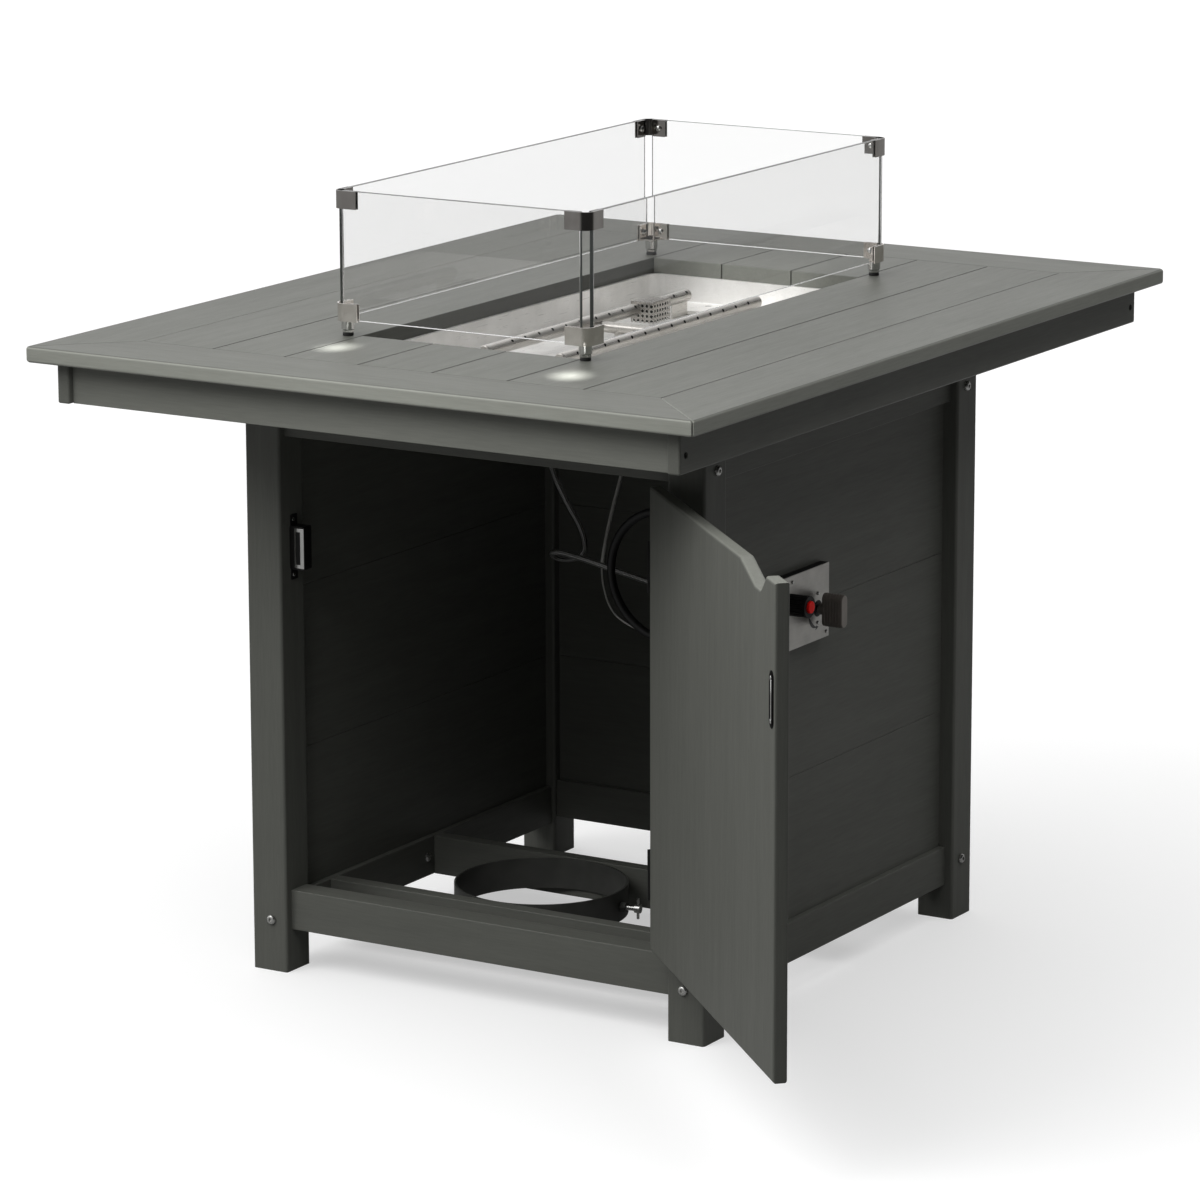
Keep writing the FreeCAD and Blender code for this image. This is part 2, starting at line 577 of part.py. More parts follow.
def control_panel():
    """A housing through the side panel, its steel face plate, the gas valve, knob and igniter."""
    face_y = "-(dims.leg_half_y - dims.rail_inset - dims.panel_inset)"
    front_y = f"({face_y} - dims.housing_stand)"
    low_x = "(dims.plate_x - dims.plate_wide / 2)"
    low_z = "(dims.plate_z - dims.plate_tall / 2)"
    rim = block("housing_rim", ("dims.plate_wide", "dims.housing_stand", "dims.plate_tall"),
                (low_x, front_y, low_z))
    margin = "dims.housing_margin + 0.5"
    sleeve = block("housing_sleeve",
                   (f"dims.plate_wide - 2 * ({margin})", "dims.housing_deep",
                    f"dims.plate_tall - 2 * ({margin})"),
                   (f"{low_x} + {margin}", face_y, f"{low_z} + {margin}"))
    wall = f"({margin} + dims.housing_wall)"
    hollow = block("housing_hollow",
                   (f"dims.plate_wide - 2 * {wall}", "dims.housing_deep + dims.housing_stand",
                    f"dims.plate_tall - 2 * {wall}"),
                   (f"{low_x} + {wall}", f"{front_y} - 1", f"{low_z} + {wall}"))
    lip = f"({wall} + dims.housing_lip)"
    back_hole = block("housing_back_hole",
                      (f"dims.plate_wide - 2 * {lip}", "dims.housing_deep", f"dims.plate_tall - 2 * {lip}"),
                      (f"{low_x} + {lip}", f"{face_y} + dims.housing_lip", f"{low_z} + {lip}"))
    keep(cut("control_housing", fuse("housing_solid", rim, sleeve), hollow, back_hole), "control_housing")

    plate = block("plate_sheet", ("dims.plate_wide", "dims.plate_thick", "dims.plate_tall"),
                  (low_x, f"{front_y} - dims.plate_thick", low_z))
    stem_hole = rod("plate_stem_hole", "dims.knob_neck / 2 + 0.5", "10",
                    ("dims.knob_x", f"{front_y} - 5", "dims.knob_z"), "+y")
    igniter_hole = rod("plate_igniter_hole", "dims.igniter_size / 2 - 4", "10",
                       ("dims.igniter_x", f"{front_y} - 5", "dims.igniter_z"), "+y")
    keep(cut("control_plate", plate, stem_hole, igniter_hole), "control_plate")


def plate_front():
    """Y of the visible face of the control plate."""
    return -(d.leg_half_y - d.rail_inset - d.panel_inset) - d.housing_stand - d.plate_thick


def gas_valve():
    """The valve behind the plate, its stem, and the knob that presses and turns."""
    plate_y = plate_front()
    x, z = d.knob_x, d.knob_z
    body = Part.makeBox(32, 36, 36, V(x - 18, plate_y + 6, z - 17))
    body = body.makeFillet(3, body.Edges)
    nose = Part.makeCylinder(7, 8, V(x, plate_y + 2.2, z), V(0, 1, 0))
    outlet = Part.makeCylinder(6.5, VALVE_OUTLET.y - plate_y - 40,
                               V(VALVE_OUTLET.x, plate_y + 40, VALVE_OUTLET.z),
                               V(0, 1, 0))
    inlet = Part.makeCylinder(7.5, VALVE_INLET.y - plate_y - 40,
                              V(VALVE_INLET.x, plate_y + 40, VALVE_INLET.z),
                              V(0, 1, 0))
    bore = Part.makeCylinder(d.stem_size / 2 + 0.05, 26, V(x, plate_y, z), V(0, 1, 0))
    solid_node("gas_valve", body.fuse([nose, outlet, inlet]).cut(bore).removeSplitter())

    knob_front = plate_y - d.knob_gap - d.knob_grip
    stem_start = plate_y - d.knob_gap - 8
    stem = Part.makeCylinder(d.stem_size / 2, plate_y + 20 - stem_start, V(x, stem_start, z), V(0, 1, 0))
    solid_node("valve_stem", stem)

    neck = Part.makeCylinder(d.knob_neck / 2, d.knob_gap - d.knob_press - 0.6,
                             V(x, plate_y - d.knob_gap, z), V(0, 1, 0))
    disc = Part.makeCylinder(d.knob_neck / 2 + 2, 3, V(x, plate_y - d.knob_gap - 3, z), V(0, 1, 0))
    grip = Part.makeBox(d.knob_wide, d.knob_grip, d.knob_tall,
                        V(x - d.knob_wide / 2, knob_front, z - d.knob_tall / 2))
    grip = grip.makeFillet(d.knob_wide / 2 - 0.5, [e for e in grip.Edges if straight_along(1)(e)])
    grip = grip.makeFillet(2, [e for e in grip.Edges if abs(e.BoundBox.YMax - knob_front) < 0.01])
    socket = Part.makeCylinder(d.stem_size / 2 + 0.05, 60, V(x, stem_start - d.knob_press - 1, z), V(0, 1, 0))
    solid_node("control_knob", grip.fuse([neck, disc]).cut(socket).removeSplitter())


def igniter():
    """The igniter's ribbed barrel through the plate, and its push button."""
    plate_y = plate_front()
    x, z = d.igniter_x, d.igniter_z
    way = V(0, -1, 0)
    barrel = Part.makeCylinder(d.igniter_size / 2, d.igniter_stand, V(x, plate_y, z), way)
    for i in range(18):
        angle = math.radians(20 * i)
        reach = d.igniter_size / 2 + 0.3
        centre = V(x + reach * math.cos(angle), plate_y - 4, z + reach * math.sin(angle))
        barrel = barrel.cut(Part.makeCylinder(1.3, d.igniter_stand - 7, centre, way))
    tail = Part.makeCylinder(d.igniter_size / 2 - 4.3, 44, V(x, plate_y + 44, z), way)
    well = Part.makeCylinder(d.button_size / 2 + d.button_clearance, 16,
                             V(x, plate_y - d.igniter_stand + 15, z), way)
    solid_node("igniter_body", barrel.fuse(tail).cut(well).removeSplitter())
    button = Part.makeCylinder(d.button_size / 2, d.button_stand + 10,
                               V(x, plate_y - d.igniter_stand + 10, z), way)
    front = plate_y - d.igniter_stand - d.button_stand
    button = button.makeFillet(1.5, [e for e in button.Edges if abs(e.BoundBox.YMin - front) < 0.01
                                     and abs(e.BoundBox.YMax - front) < 0.01])
    solid_node("igniter_button", button)


# Gas lines

VALVE_OUTLET = V(-74, -285, 528)
VALVE_INLET = V(-56, -285, 545)
LOOP_Y = -145
LOOP_Z = 564
REGULATOR = V(-116, -252, 425)

FLEX_ROUTE = [
    V(40, 24, 838), V(40, 25, 800), V(38, 48, 768), V(34, 98, 750), V(28, 133, 716), V(20, 122, 668),
    V(14, 92, 622), V(9, 66, 592), V(3.5, 54, 567), V(-4, 58, 551), V(-19, 71, 548), V(-38, 80, 554),
    V(-56, 75, 564.5), V(-69, 54, 571), V(-72, 26, 568.5), V(-72, -22, 559.5), V(-72, -74, 549),
    V(-72, -124, 540.5), V(-72, -180, 533), V(-74, -234, 528.5), VALVE_OUTLET]

SLEEVE_ROUTE = [
    V(173, 40, 853.5), V(173, 36, 812), V(150, 30, 780), V(110, 26, 750), V(72, 22, 710), V(40, 19, 660),
    V(17, 21, 612), V(2, 23.5, 566), V(-5, 23, 541)]

WIRE_ROUTE = [
    V(-5, 23, 541), V(-9.5, 20, 526), V(-18, 11, 511), V(-32, -4, 496), V(-47, -24, 485),
    V(-61, -50, 479), V(-73, -84, 473), V(-79, -126, 469), V(-83, -172, 464), V(-88, -222, 468),
    V(-97, -260, 484), V(-115, -282, 512), V(-133, -287, 540), V(-140, -297, 556), V(-140, -311, 557)]


def smooth_path(points, label):
    """Straight runs joined by tangent arcs, each as large as its two runs allow."""
    edges, radii = [], []
    start = points[0]
    for before, corner, after in zip(points, points[1:], points[2:]):
        arrive = corner - before
        leave = after - corner
        shorter = min(arrive.Length, leave.Length)
        turn = arrive.getAngle(leave)
        radius = 0.45 * shorter / math.tan(turn / 2)
        reach = 0.45 * shorter
        first = corner - arrive.normalize() * reach
        last = corner + leave.normalize() * reach
        middle_way = (first + last) * 0.5 - corner
        middle_way.normalize()
        to_centre = radius / math.cos(turn / 2)
        middle = corner + middle_way * (to_centre - radius)
        edges.append(Part.LineSegment(start, first).toShape())
        edges.append(Part.Arc(first, middle, last).toShape())
        radii.append(radius)
        start = last
    edges.append(Part.LineSegment(start, points[-1]).toShape())
    print(label, "bend radii", [round(r) for r in radii])
    return Part.Wire(edges)


def tube(wire, radius, label):
    """A solid tube along a path, with its volume set against section times length."""
    start = wire.Edges[0].firstVertex().Point
    way = wire.Edges[0].tangentAt(wire.Edges[0].FirstParameter)
    section = Part.Wire(Part.makeCircle(radius, start, way))
    shape = wire.makePipeShell([section], True, False)
    expected = math.pi * radius ** 2 * wire.Length
    print(label, "length", round(wire.Length, 1), "volume ratio", round(shape.Volume / expected, 4))
    return shape


def hose_route():
    """From the valve down to the foot of the loop, round it, and down to the regulator."""
    steps = 10
    sweep = 270
    reach = d.hose_loop_radius / math.cos(math.radians(sweep / steps / 2))
    first_x, last_x = -96, REGULATOR.x - 1
    lead = [VALVE_INLET, VALVE_INLET + V(0, 42, 0), V(-62, -208, 514), V(-80, -177, 483)]
    loop = []
    for i in range(steps + 1):
        angle = math.radians(-90 + sweep * i / steps)
        loop.append(V(first_x + (last_x - first_x) * i / steps, LOOP_Y + reach * math.cos(angle),
                      LOOP_Z + reach * math.sin(angle)))
    return lead + loop + [REGULATOR + V(-1, 5, 103), REGULATOR + V(-1, 0.5, 68), REGULATOR + V(0, 0, 32),
                          REGULATOR]


def gas_lines():
    """The steel flex line to the burner, the igniter lead, and the hose with its regulator."""
    solid_node("burner_flex_line", tube(smooth_path(FLEX_ROUTE, "flex"), d.flex_size / 2, "flex"))
    sleeve = tube(smooth_path(SLEEVE_ROUTE, "sleeve"), d.sleeve_size / 2, "sleeve")
    wire = tube(smooth_path(WIRE_ROUTE, "wire"), d.wire_size / 2, "wire")
    electrode = [Part.makeCylinder(4.5, 6, SLEEVE_ROUTE[0]), Part.makeCylinder(3, 20, SLEEVE_ROUTE[0]),
                 Part.makeCylinder(1.2, 30, SLEEVE_ROUTE[0])]
    solid_node("igniter_lead", sleeve.fuse([wire] + electrode))
    solid_node("gas_hose", tube(smooth_path(hose_route(), "hose"), d.hose_size / 2, "hose"))


def regulator():
    """The pressure regulator on the end of the hose and the nut that screws to a tank valve."""
    down = V(0, 0, -1)
    middle = REGULATOR - V(0, 0, 56)
    across = V(1, 0, 0)
    case = Part.makeCylinder(29, 18, middle - across * 9, across)
    case = case.makeFillet(3, case.Edges)
    pieces = [
        Part.makeCylinder(8.5, 24, REGULATOR, down),
        Part.makeCylinder(6, 40, REGULATOR, down),
        Part.makeCylinder(17, 14, middle + across * 9, across),
        Part.makeCylinder(4, 5, middle + across * 23, across),
        Part.makeCylinder(6, 42, middle + down * 26, down),
        Part.makeCylinder(11, 3, middle + down * 65, down)]
    solid_node("pressure_regulator", case.fuse(pieces).removeSplitter())

    rim = middle + down * 91
    nut = Part.makeCylinder(19, 30, rim)
    grips = 12
    for i in range(grips):
        angle = 2 * math.pi * i / grips
        flute = rim + V(20 * math.cos(angle), 20 * math.sin(angle), -1)
        nut = nut.cut(Part.makeCylinder(2.6, 32, flute))
    thread = Part.makeCylinder(14.5, 23, rim)
    seat = Part.makeCylinder(11.5, 27, rim)
    neck = Part.makeCylinder(6.4, 40, rim)
    solid_node("tank_coupling_nut", nut.cut([thread, seat, neck]).removeSplitter())


# The burner pan

def burner_pan():
    """A rounded steel tub with a narrow flange, under the opening in the boards."""
    top_z = d.top_height - d.board_thick
    low_x = d.opening_shift - d.opening_length / 2 + d.pan_inset
    high_x = d.opening_shift + d.opening_length / 2 - d.pan_inset
    half_y = opening_half_y() - d.pan_inset

    def tub(grow, low_z, high_z, corner):
        base = Part.makeBox(high_x - low_x + 2 * grow, 2 * (half_y + grow), high_z - low_z,
                            V(low_x - grow, -half_y - grow, low_z))
        return base.makeFillet(corner, [e for e in base.Edges if straight_along(2)(e)])

    outside = tub(0, top_z - d.pan_deep, top_z, d.pan_corner)
    floor_edges = [e for e in outside.Edges if e.BoundBox.ZMax < top_z - d.pan_deep + 0.01]
    outside = outside.makeFillet(4, floor_edges)
    inside = tub(-d.pan_wall, top_z - d.pan_deep + d.pan_wall, top_z + 5, d.pan_corner - d.pan_wall)
    floor_edges = [e for e in inside.Edges if e.BoundBox.ZMax < top_z - d.pan_deep + d.pan_wall + 0.01]
    inside = inside.makeFillet(2.5, floor_edges)
    flange = tub(d.pan_flange, top_z - d.pan_wall, top_z, d.pan_corner + d.pan_flange)
    shape = outside.fuse(flange).cut(inside)
    feed = Part.makeCylinder(9, 20, V(d.burner_cross_x, d.inlet_y, top_z - d.pan_deep - 10))
    lead = Part.makeCylinder(3, 20, V(SLEEVE_ROUTE[0].x, SLEEVE_ROUTE[0].y, top_z - d.pan_deep - 10))
    drain = Part.makeCylinder(5, 20, V(high_x - 14, 70, top_z - d.pan_deep - 10))
    solid_node("burner_pan", shape.cut([feed, lead, drain]).removeSplitter())


def opening_half_y():
    return d.opening_rows * (d.top_width - 2 * d.border_width) / d.deck_rows / 2


def burner():
    """Two capped tubes with ports, joined by a cross tube over the gas inlet, on four feet."""
    outer, z = d.burner_size / 2, d.burner_z
    left, right = d.burner_left, d.burner_right
    floor_z = d.top_height - d.board_thick - d.pan_deep + d.pan_wall
    solids, holes = [], []
    for side in (-1, 1):
        y = side * d.burner_half_y
        run = Part.makeCylinder(outer, right - left, V(left, y, z), V(1, 0, 0))
        solids.append(run.makeFillet(2.5, [e for e in run.Edges if len(e.Vertexes) == 1]))
        holes.append(Part.makeCylinder(outer - d.burner_wall, right - left - 8, V(left + 4, y, z),
                                       V(1, 0, 0)))
        ports = int((right - left - 50) / d.burner_port_pitch)
        port_lean = math.radians(60 if side < 0 else 47)
        for i in range(ports + 1):
            x = right - (39 if side < 0 else 12) - i * d.burner_port_pitch
            way = V(0, -math.sin(port_lean), math.cos(port_lean))
            holes.append(Part.makeCylinder(d.burner_port / 2, outer + 2, V(x, y, z), way))
        for x_low, step in ((left, -1), (right - 43, 1)):
            post = Part.makeBox(43, 1.5, z - floor_z, V(x_low, y - 0.75, floor_z))
            tab_x = x_low - 24 if step < 0 else x_low + 43
            tab = Part.makeBox(24 + 2, 20, 1.5, V(tab_x - (0 if step < 0 else 2), y - 10, floor_z))
            tab = tab.makeFillet(6, [e for e in tab.Edges if straight_along(2)(e)])
            solids += [post, tab]
    reach = d.burner_half_y - 3
    cross_start = V(d.burner_cross_x, -reach, z - d.burner_cross_drop)
    cross = Part.makeCylinder(d.burner_cross_size / 2, 2 * reach, cross_start, V(0, 1, 0))
    feed = Part.makeCylinder(7, z - d.burner_cross_drop - floor_z + 16,
                             V(d.burner_cross_x, d.inlet_y, floor_z - 14))
    feed_nut = hexagon(V(d.burner_cross_x, d.inlet_y, floor_z - 14), UP, 17, 11)
    holes.append(Part.makeCylinder(d.burner_cross_size / 2 - d.burner_wall, 2 * reach - 3,
                                   cross_start + V(0, 1.5, 0), V(0, 1, 0)))
    lock_nut = hexagon(V(d.burner_cross_x, d.inlet_y, floor_z), UP, 22, 6)
    shape = solids[0].fuse(solids[1:] + [cross, feed, feed_nut, lock_nut]).cut(holes)
    solid_node("burner", shape.removeSplitter())


def pilot_cover():
    """A perforated steel box over the spark electrode, hooked over the far burner tube."""
    x, y, wide, deep, tall = d.cover_x, d.cover_y, d.cover_wide, d.cover_deep, d.cover_tall
    low_z = d.burner_z + d.burner_size / 2 + 0.4 + d.cover_sheet - tall
    shell = Part.makeBox(wide, deep, tall, V(x, y, low_z))
    shell = shell.makeFillet(1.2, [e for e in shell.Edges if straight_along(2)(e)])
    inside = Part.makeBox(wide - 2 * d.cover_sheet, deep + 5, tall,
                          V(x + d.cover_sheet, y + d.cover_sheet, low_z - d.cover_sheet))
    tube_room = Part.makeCylinder(d.burner_size / 2 + 0.4, wide + 10, V(x - 5, d.burner_half_y, d.burner_z),
                                  V(1, 0, 0))
    slot = Part.makeBox(wide + 10, 2 * (d.burner_size / 2 + 0.4), d.burner_z - low_z + 2,
                        V(x - 5, d.burner_half_y - d.burner_size / 2 - 0.4, low_z - 2))
    holes = []
    radius = d.cover_hole / 2
    for i in range(4):
        hole_x = x + wide / 2 + (i - 1.5) * d.cover_hole_pitch
        for j in range(2):
            holes.append(Part.makeCylinder(radius, 4, V(hole_x, y - 1, low_z + 8 + j * 11), V(0, 1, 0)))
        for j in range(3):
            holes.append(Part.makeCylinder(radius, 4,
                                           V(hole_x, y + 7 + j * d.cover_hole_pitch, low_z + tall - 3)))
    for side_x in (x - 1, x + wide - 3):
        for j in range(2):
            holes.append(Part.makeCylinder(radius, 4, V(side_x, y + 9, low_z + 8 + j * 11), V(1, 0, 0)))
    solid_node("pilot_cover", shell.cut([inside, tube_room, slot] + holes).removeSplitter())


# The glass guard

def glass_guard():
    """Four panes in corner clips, on four feet; the whole guard lifts off the top."""
    cx, cy = "dims.guard_shift_x", "dims.guard_shift_y"
    out_x, out_y = "(dims.guard_half_x - dims.clip_sheet)", "(dims.guard_half_y - dims.clip_sheet)"
    panes = {
        "glass_pane_control_side": ("long", f"{cy} - {out_y}"),
        "glass_pane_far_side": ("long", f"{cy} + {out_y} - dims.glass_thick"),
        "glass_pane_door_side": ("short", f"{cx} - {out_x}"),
        "glass_pane_rear_side": ("short", f"{cx} + {out_x} - dims.glass_thick"),
    }
    for label, (kind, low) in panes.items():
        if kind == "long":
            run = "2 * (dims.guard_half_x - dims.glass_short)"
            sizes = (run, "dims.glass_thick", "dims.glass_tall")
            place = (f"{cx} - ({run}) / 2", low, "dims.glass_low")
        else:
            run = "2 * (dims.guard_half_y - dims.glass_short)"
            sizes = ("dims.glass_thick", run, "dims.glass_tall")
            place = (low, f"{cy} - ({run}) / 2", "dims.glass_low")
        bar(label, sizes, place, "0.8")
    clips, feet = [], []
    for sx in (-1, 1):
        for sy in (-1, 1):
            corner = V(d.guard_shift_x + sx * d.guard_half_x, d.guard_shift_y + sy * d.guard_half_y, 0)
            glass_top = d.glass_low + d.glass_tall
            clips += corner_clip(corner, sx, sy, d.glass_low - d.clip_web, True)
            clips += corner_clip(corner, sx, sy, glass_top - d.clip_tall, False)
            feet.append(foot(corner, sx, sy))
    solid_node("guard_corner_clips", Part.makeCompound(clips))
    solid_node("guard_feet", Part.makeCompound(feet))


def corner_clip(corner, sx, sy, low_z, with_foot):
    """An angle round the corner outside the glass, a clamp plate behind each pane, and its screws."""
    leg, sheet_thick, tall = d.clip_leg, d.clip_sheet, d.clip_tall
    outside = box_from_corner(corner, sx, sy, 0, 0, leg, leg, low_z, tall)
    outside = outside.makeFillet(d.clip_round, nearest_upright(outside, corner))
    inner_corner = corner + V(-sx * sheet_thick, -sy * sheet_thick, 0)
    inside = box_from_corner(inner_corner, sx, sy, 0, 0, leg, leg, low_z - 1, tall + 2)
    inside = inside.makeFillet(d.clip_round - sheet_thick, nearest_upright(inside, inner_corner))
    angle = outside.cut(inside)
    if with_foot:
        web = box_from_corner(corner, sx, sy, sheet_thick, sheet_thick, d.clip_web_run, d.clip_web_run,
                              low_z, d.clip_web)
        web = web.makeFillet(d.clip_round - sheet_thick, nearest_upright(web, inner_corner))
        angle = angle.fuse(web)
    pieces = [angle.removeSplitter()]
    depth = sheet_thick + d.glass_thick
    start = d.glass_short + 2
    lift = d.clip_web if with_foot else 0
    for along_x in (True, False):
        if along_x:
            plate = box_from_corner(corner, sx, sy, start, depth, leg - start, sheet_thick,
                                    low_z + lift, tall - lift)
            middle = corner + V(-sx * (start + leg) / 2, -sy * (depth + sheet_thick), low_z + tall / 2)
            way = V(0, -sy, 0)
        else:
            plate = box_from_corner(corner, sx, sy, depth, start, sheet_thick, leg - start,
                                    low_z + lift, tall - lift)
            middle = corner + V(-sx * (depth + sheet_thick), -sy * (start + leg) / 2, low_z + tall / 2)
            way = V(-sx, 0, 0)
        head = Part.makeCylinder(4, 2.4, middle, way)
        pieces.append(plate.fuse(head).removeSplitter())
    return pieces


def box_from_corner(corner, sx, sy, skip_x, skip_y, run_x, run_y, low_z, tall):
    """A block measured inwards from a corner of the guard."""
    x_one = corner.x - sx * skip_x
    x_two = x_one - sx * run_x
    y_one = corner.y - sy * skip_y
    y_two = y_one - sy * run_y
    return Part.makeBox(abs(run_x), abs(run_y), tall, V(min(x_one, x_two), min(y_one, y_two), low_z))


def nearest_upright(shape, corner):
    uprights = [e for e in shape.Edges if straight_along(2)(e)]
    return [min(uprights, key=lambda e: math.hypot(e.CenterOfMass.x - corner.x,
                                                   e.CenterOfMass.y - corner.y))]


def foot(corner, sx, sy):
    """A standoff, a locknut and a rubber pad under the web of one corner."""
    x, y = corner.x - sx * d.foot_inset, corner.y - sy * d.foot_inset
    z = d.top_height
    pad_piece = Part.makeCylinder(d.foot_pad / 2, d.foot_pad_tall, V(x, y, z))
    pad_piece = pad_piece.makeFillet(0.8, [e for e in pad_piece.Edges if len(e.Vertexes) == 1])
    nut = hexagon(V(x, y, z + d.foot_pad_tall), UP, d.foot_nut, d.foot_nut_tall)
    clip_low = d.glass_low - d.clip_web
    standoff = Part.makeCylinder(d.foot_size / 2, clip_low - z - d.foot_pad_tall - d.foot_nut_tall,
                                 V(x, y, z + d.foot_pad_tall + d.foot_nut_tall))
    return pad_piece.fuse([nut, standoff]).removeSplitter()


# Fasteners

def fasteners():
    """Every screw and bolt of the frame, a solid each."""
    pieces = []
    inset = d.rail_inset + d.rail_thick / 2
    for sx in (-1, 1):
        for sy in (-1, 1):
            pieces.append(bolt(V(sx * d.leg_half_x, sy * (d.leg_half_y - inset), d.bolt_low_x_z),
                               V(sx, 0, 0)))
            for z in (d.bolt_low_y_z, d.bolt_high_y_z):
                pieces.append(bolt(V(sx * (d.leg_half_x - inset), sy * d.leg_half_y, z), V(0, sy, 0)))
            pieces.append(sunk_screw(V(sx * d.apron_screw_x, sy * (d.apron_half_y - d.screw_sunk),
                                       d.apron_screw_z), V(0, sy, 0)))
    front = plate_front()
    low_x, high_x = d.plate_x - d.plate_wide / 2, d.plate_x + d.plate_wide / 2
    low_z, high_z = d.plate_z - d.plate_tall / 2, d.plate_z + d.plate_tall / 2
    spots = [(d.knob_x, d.knob_z + 21), (d.knob_x, d.knob_z - 20), (low_x + 48, high_z - 9),
             (low_x + 7, low_z + 7), (high_x - 7, low_z + 7)]
    pieces += [pan_screw(V(x, front, z)) for x, z in spots]
    solid_node("screws_and_bolts", Part.makeCompound(pieces))


def outer_rim(shape, seat, out, height):
    """The edge of a round head that lies furthest from its seat."""
    return [e for e in shape.Edges if len(e.Vertexes) == 1 and
            abs((e.CenterOfMass - seat).dot(out) - height) < 0.01]


def bolt(seat, out):
    """One bolt: a shank as long as the leg is thick, and a domed head with a hex socket."""
    shank = Part.makeCylinder(d.bolt_size / 2, d.leg_size, seat - out * d.leg_size, out)
    head = Part.makeCylinder(d.bolt_head / 2, d.bolt_head_tall, seat, out)
    head = head.makeFillet(d.bolt_head_tall - 1, outer_rim(head, seat, out, d.bolt_head_tall))
    socket = hexagon(seat + out * (d.bolt_head_tall - 2.5), out, 5, 4)
    return shank.fuse(head).cut(socket).removeSplitter()


def sunk_screw(seat, out):
    """One screw below the face of an apron: a flat head with a square socket."""
    head = Part.makeCylinder(d.screw_hole / 2 - 0.3, 1, seat, out)
    socket = Part.makeBox(2.6, 2.6, 2.6, seat - V(1.3, 1.3, 1.3))
    return head.cut(socket)


def pan_screw(seat):
    """One small screw on the face plate, with its rim rounded."""
    out = V(0, -1, 0)
    tall = d.plate_screw_tall
    head = Part.makeCylinder(d.plate_screw_size / 2, tall, seat, out)
    return head.makeFillet(tall - 0.6, outer_rim(head, seat, out, tall))


border_boards()
deck_boards()
aprons_and_battens()
legs()
rails()
panels()
tank_holder()
door()
hinges()
catch()
control_panel()
gas_valve()
igniter()
gas_lines()
regulator()
burner_pan()
burner()
pilot_cover()
glass_guard()
fasteners()

doc.recompute()
failed = [item.Name for item in doc.Objects if "Invalid" in item.State or "Error" in item.State]
if failed:
    raise RuntimeError(f"these objects did not build: {failed}")
os.makedirs("parts", exist_ok=True)
for node in nodes:
    if node.Shape.isNull() or not node.Shape.isValid():
        raise RuntimeError(f"{node.Label} has no valid shape")
    node.Shape.exportStep(f"parts/{node.Label}.step")
    box = node.Shape.BoundBox
    print(f"{node.Label}: {len(node.Shape.Solids)} solids, volume {node.Shape.Volume:.0f},"
          f" x {box.XMin:.1f} to {box.XMax:.1f}, y {box.YMin:.1f} to {box.YMax:.1f},"
          f" z {box.ZMin:.1f} to {box.ZMax:.1f}")
print(len(nodes), "nodes")
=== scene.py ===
# %% [markdown]
# # Fire pit table, dressed for its portrait
# The table comes in as a finished frame: every board, bolt and pane already has its true shape and place.
# This lesson adds what the frame lacks: a camera, light, the hoses, the small fittings and the surfaces. Each
# step first says what the real thing is, then how it is made here and why.

# %% Load the frame
import math

import bpy
import bmesh
from mathutils import Matrix, Vector


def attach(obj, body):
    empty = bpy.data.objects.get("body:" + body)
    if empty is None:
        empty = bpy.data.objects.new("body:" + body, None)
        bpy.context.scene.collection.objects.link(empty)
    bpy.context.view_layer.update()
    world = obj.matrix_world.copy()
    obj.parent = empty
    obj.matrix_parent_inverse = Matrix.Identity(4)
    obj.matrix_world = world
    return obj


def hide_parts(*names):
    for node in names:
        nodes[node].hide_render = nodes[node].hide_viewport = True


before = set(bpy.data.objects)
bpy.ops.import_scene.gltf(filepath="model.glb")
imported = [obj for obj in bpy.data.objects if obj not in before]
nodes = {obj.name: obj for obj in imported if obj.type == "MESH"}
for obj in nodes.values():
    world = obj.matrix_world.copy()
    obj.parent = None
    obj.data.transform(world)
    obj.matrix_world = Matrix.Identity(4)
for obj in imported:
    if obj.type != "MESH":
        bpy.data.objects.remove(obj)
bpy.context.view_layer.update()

# %% [markdown]
# ## Camera
# The picture was taken from well back with a long lens, a little above the table top, so its far corners
# hardly shrink. A camera is a place, a direction and a focal length. The direction is given here as a turn
# about the vertical, a tilt down and a tiny roll, because these are the angles that a tripod's head has.

# %% A helper that adds an object, and the camera
def add_object(name, data):
    """A new object for a mesh, a curve, a lamp or a camera, linked into the scene."""
    thing = bpy.data.objects.new(name, data)
    bpy.context.scene.collection.objects.link(thing)
    return thing


TURN, TILT, ROLL = math.radians(31.315), math.radians(12.810), math.radians(-0.149)
CAMERA_PLACE = (-6.4010, -3.8652, 2.1950)
LENS_MM = 163.53

ahead = Vector((math.cos(TILT) * math.cos(TURN), math.cos(TILT) * math.sin(TURN), -math.sin(TILT)))
right = Vector((math.sin(TURN), -math.cos(TURN), 0))
up = right.cross(ahead)
right_rolled = right * math.cos(ROLL) + up * math.sin(ROLL)
up_rolled = up * math.cos(ROLL) - right * math.sin(ROLL)
pose = Matrix((right_rolled, up_rolled, -ahead)).transposed().to_4x4()
pose.translation = CAMERA_PLACE
camera_data = bpy.data.cameras.new("camera")
camera_data.sensor_width = 36
camera_data.lens = LENS_MM
camera_data.clip_end = 60
camera = add_object("camera", camera_data)
camera.matrix_world = pose
bpy.context.scene.camera = camera
print("camera looks along", [round(v, 3) for v in ahead])

# %% [markdown]
# ## Hoses and leads
# Gas reaches the valve through a black rubber hose with a pressure regulator on its end, and goes on to the
# burner through a thin steel flex line. A pale sleeve carries the spark lead down from the burner, and a bare
# wire takes it on to the igniter. Each is one smooth curve with a round section: a NURBS curve follows its
# control points loosely, as a springy hose does, and never kinks between them.

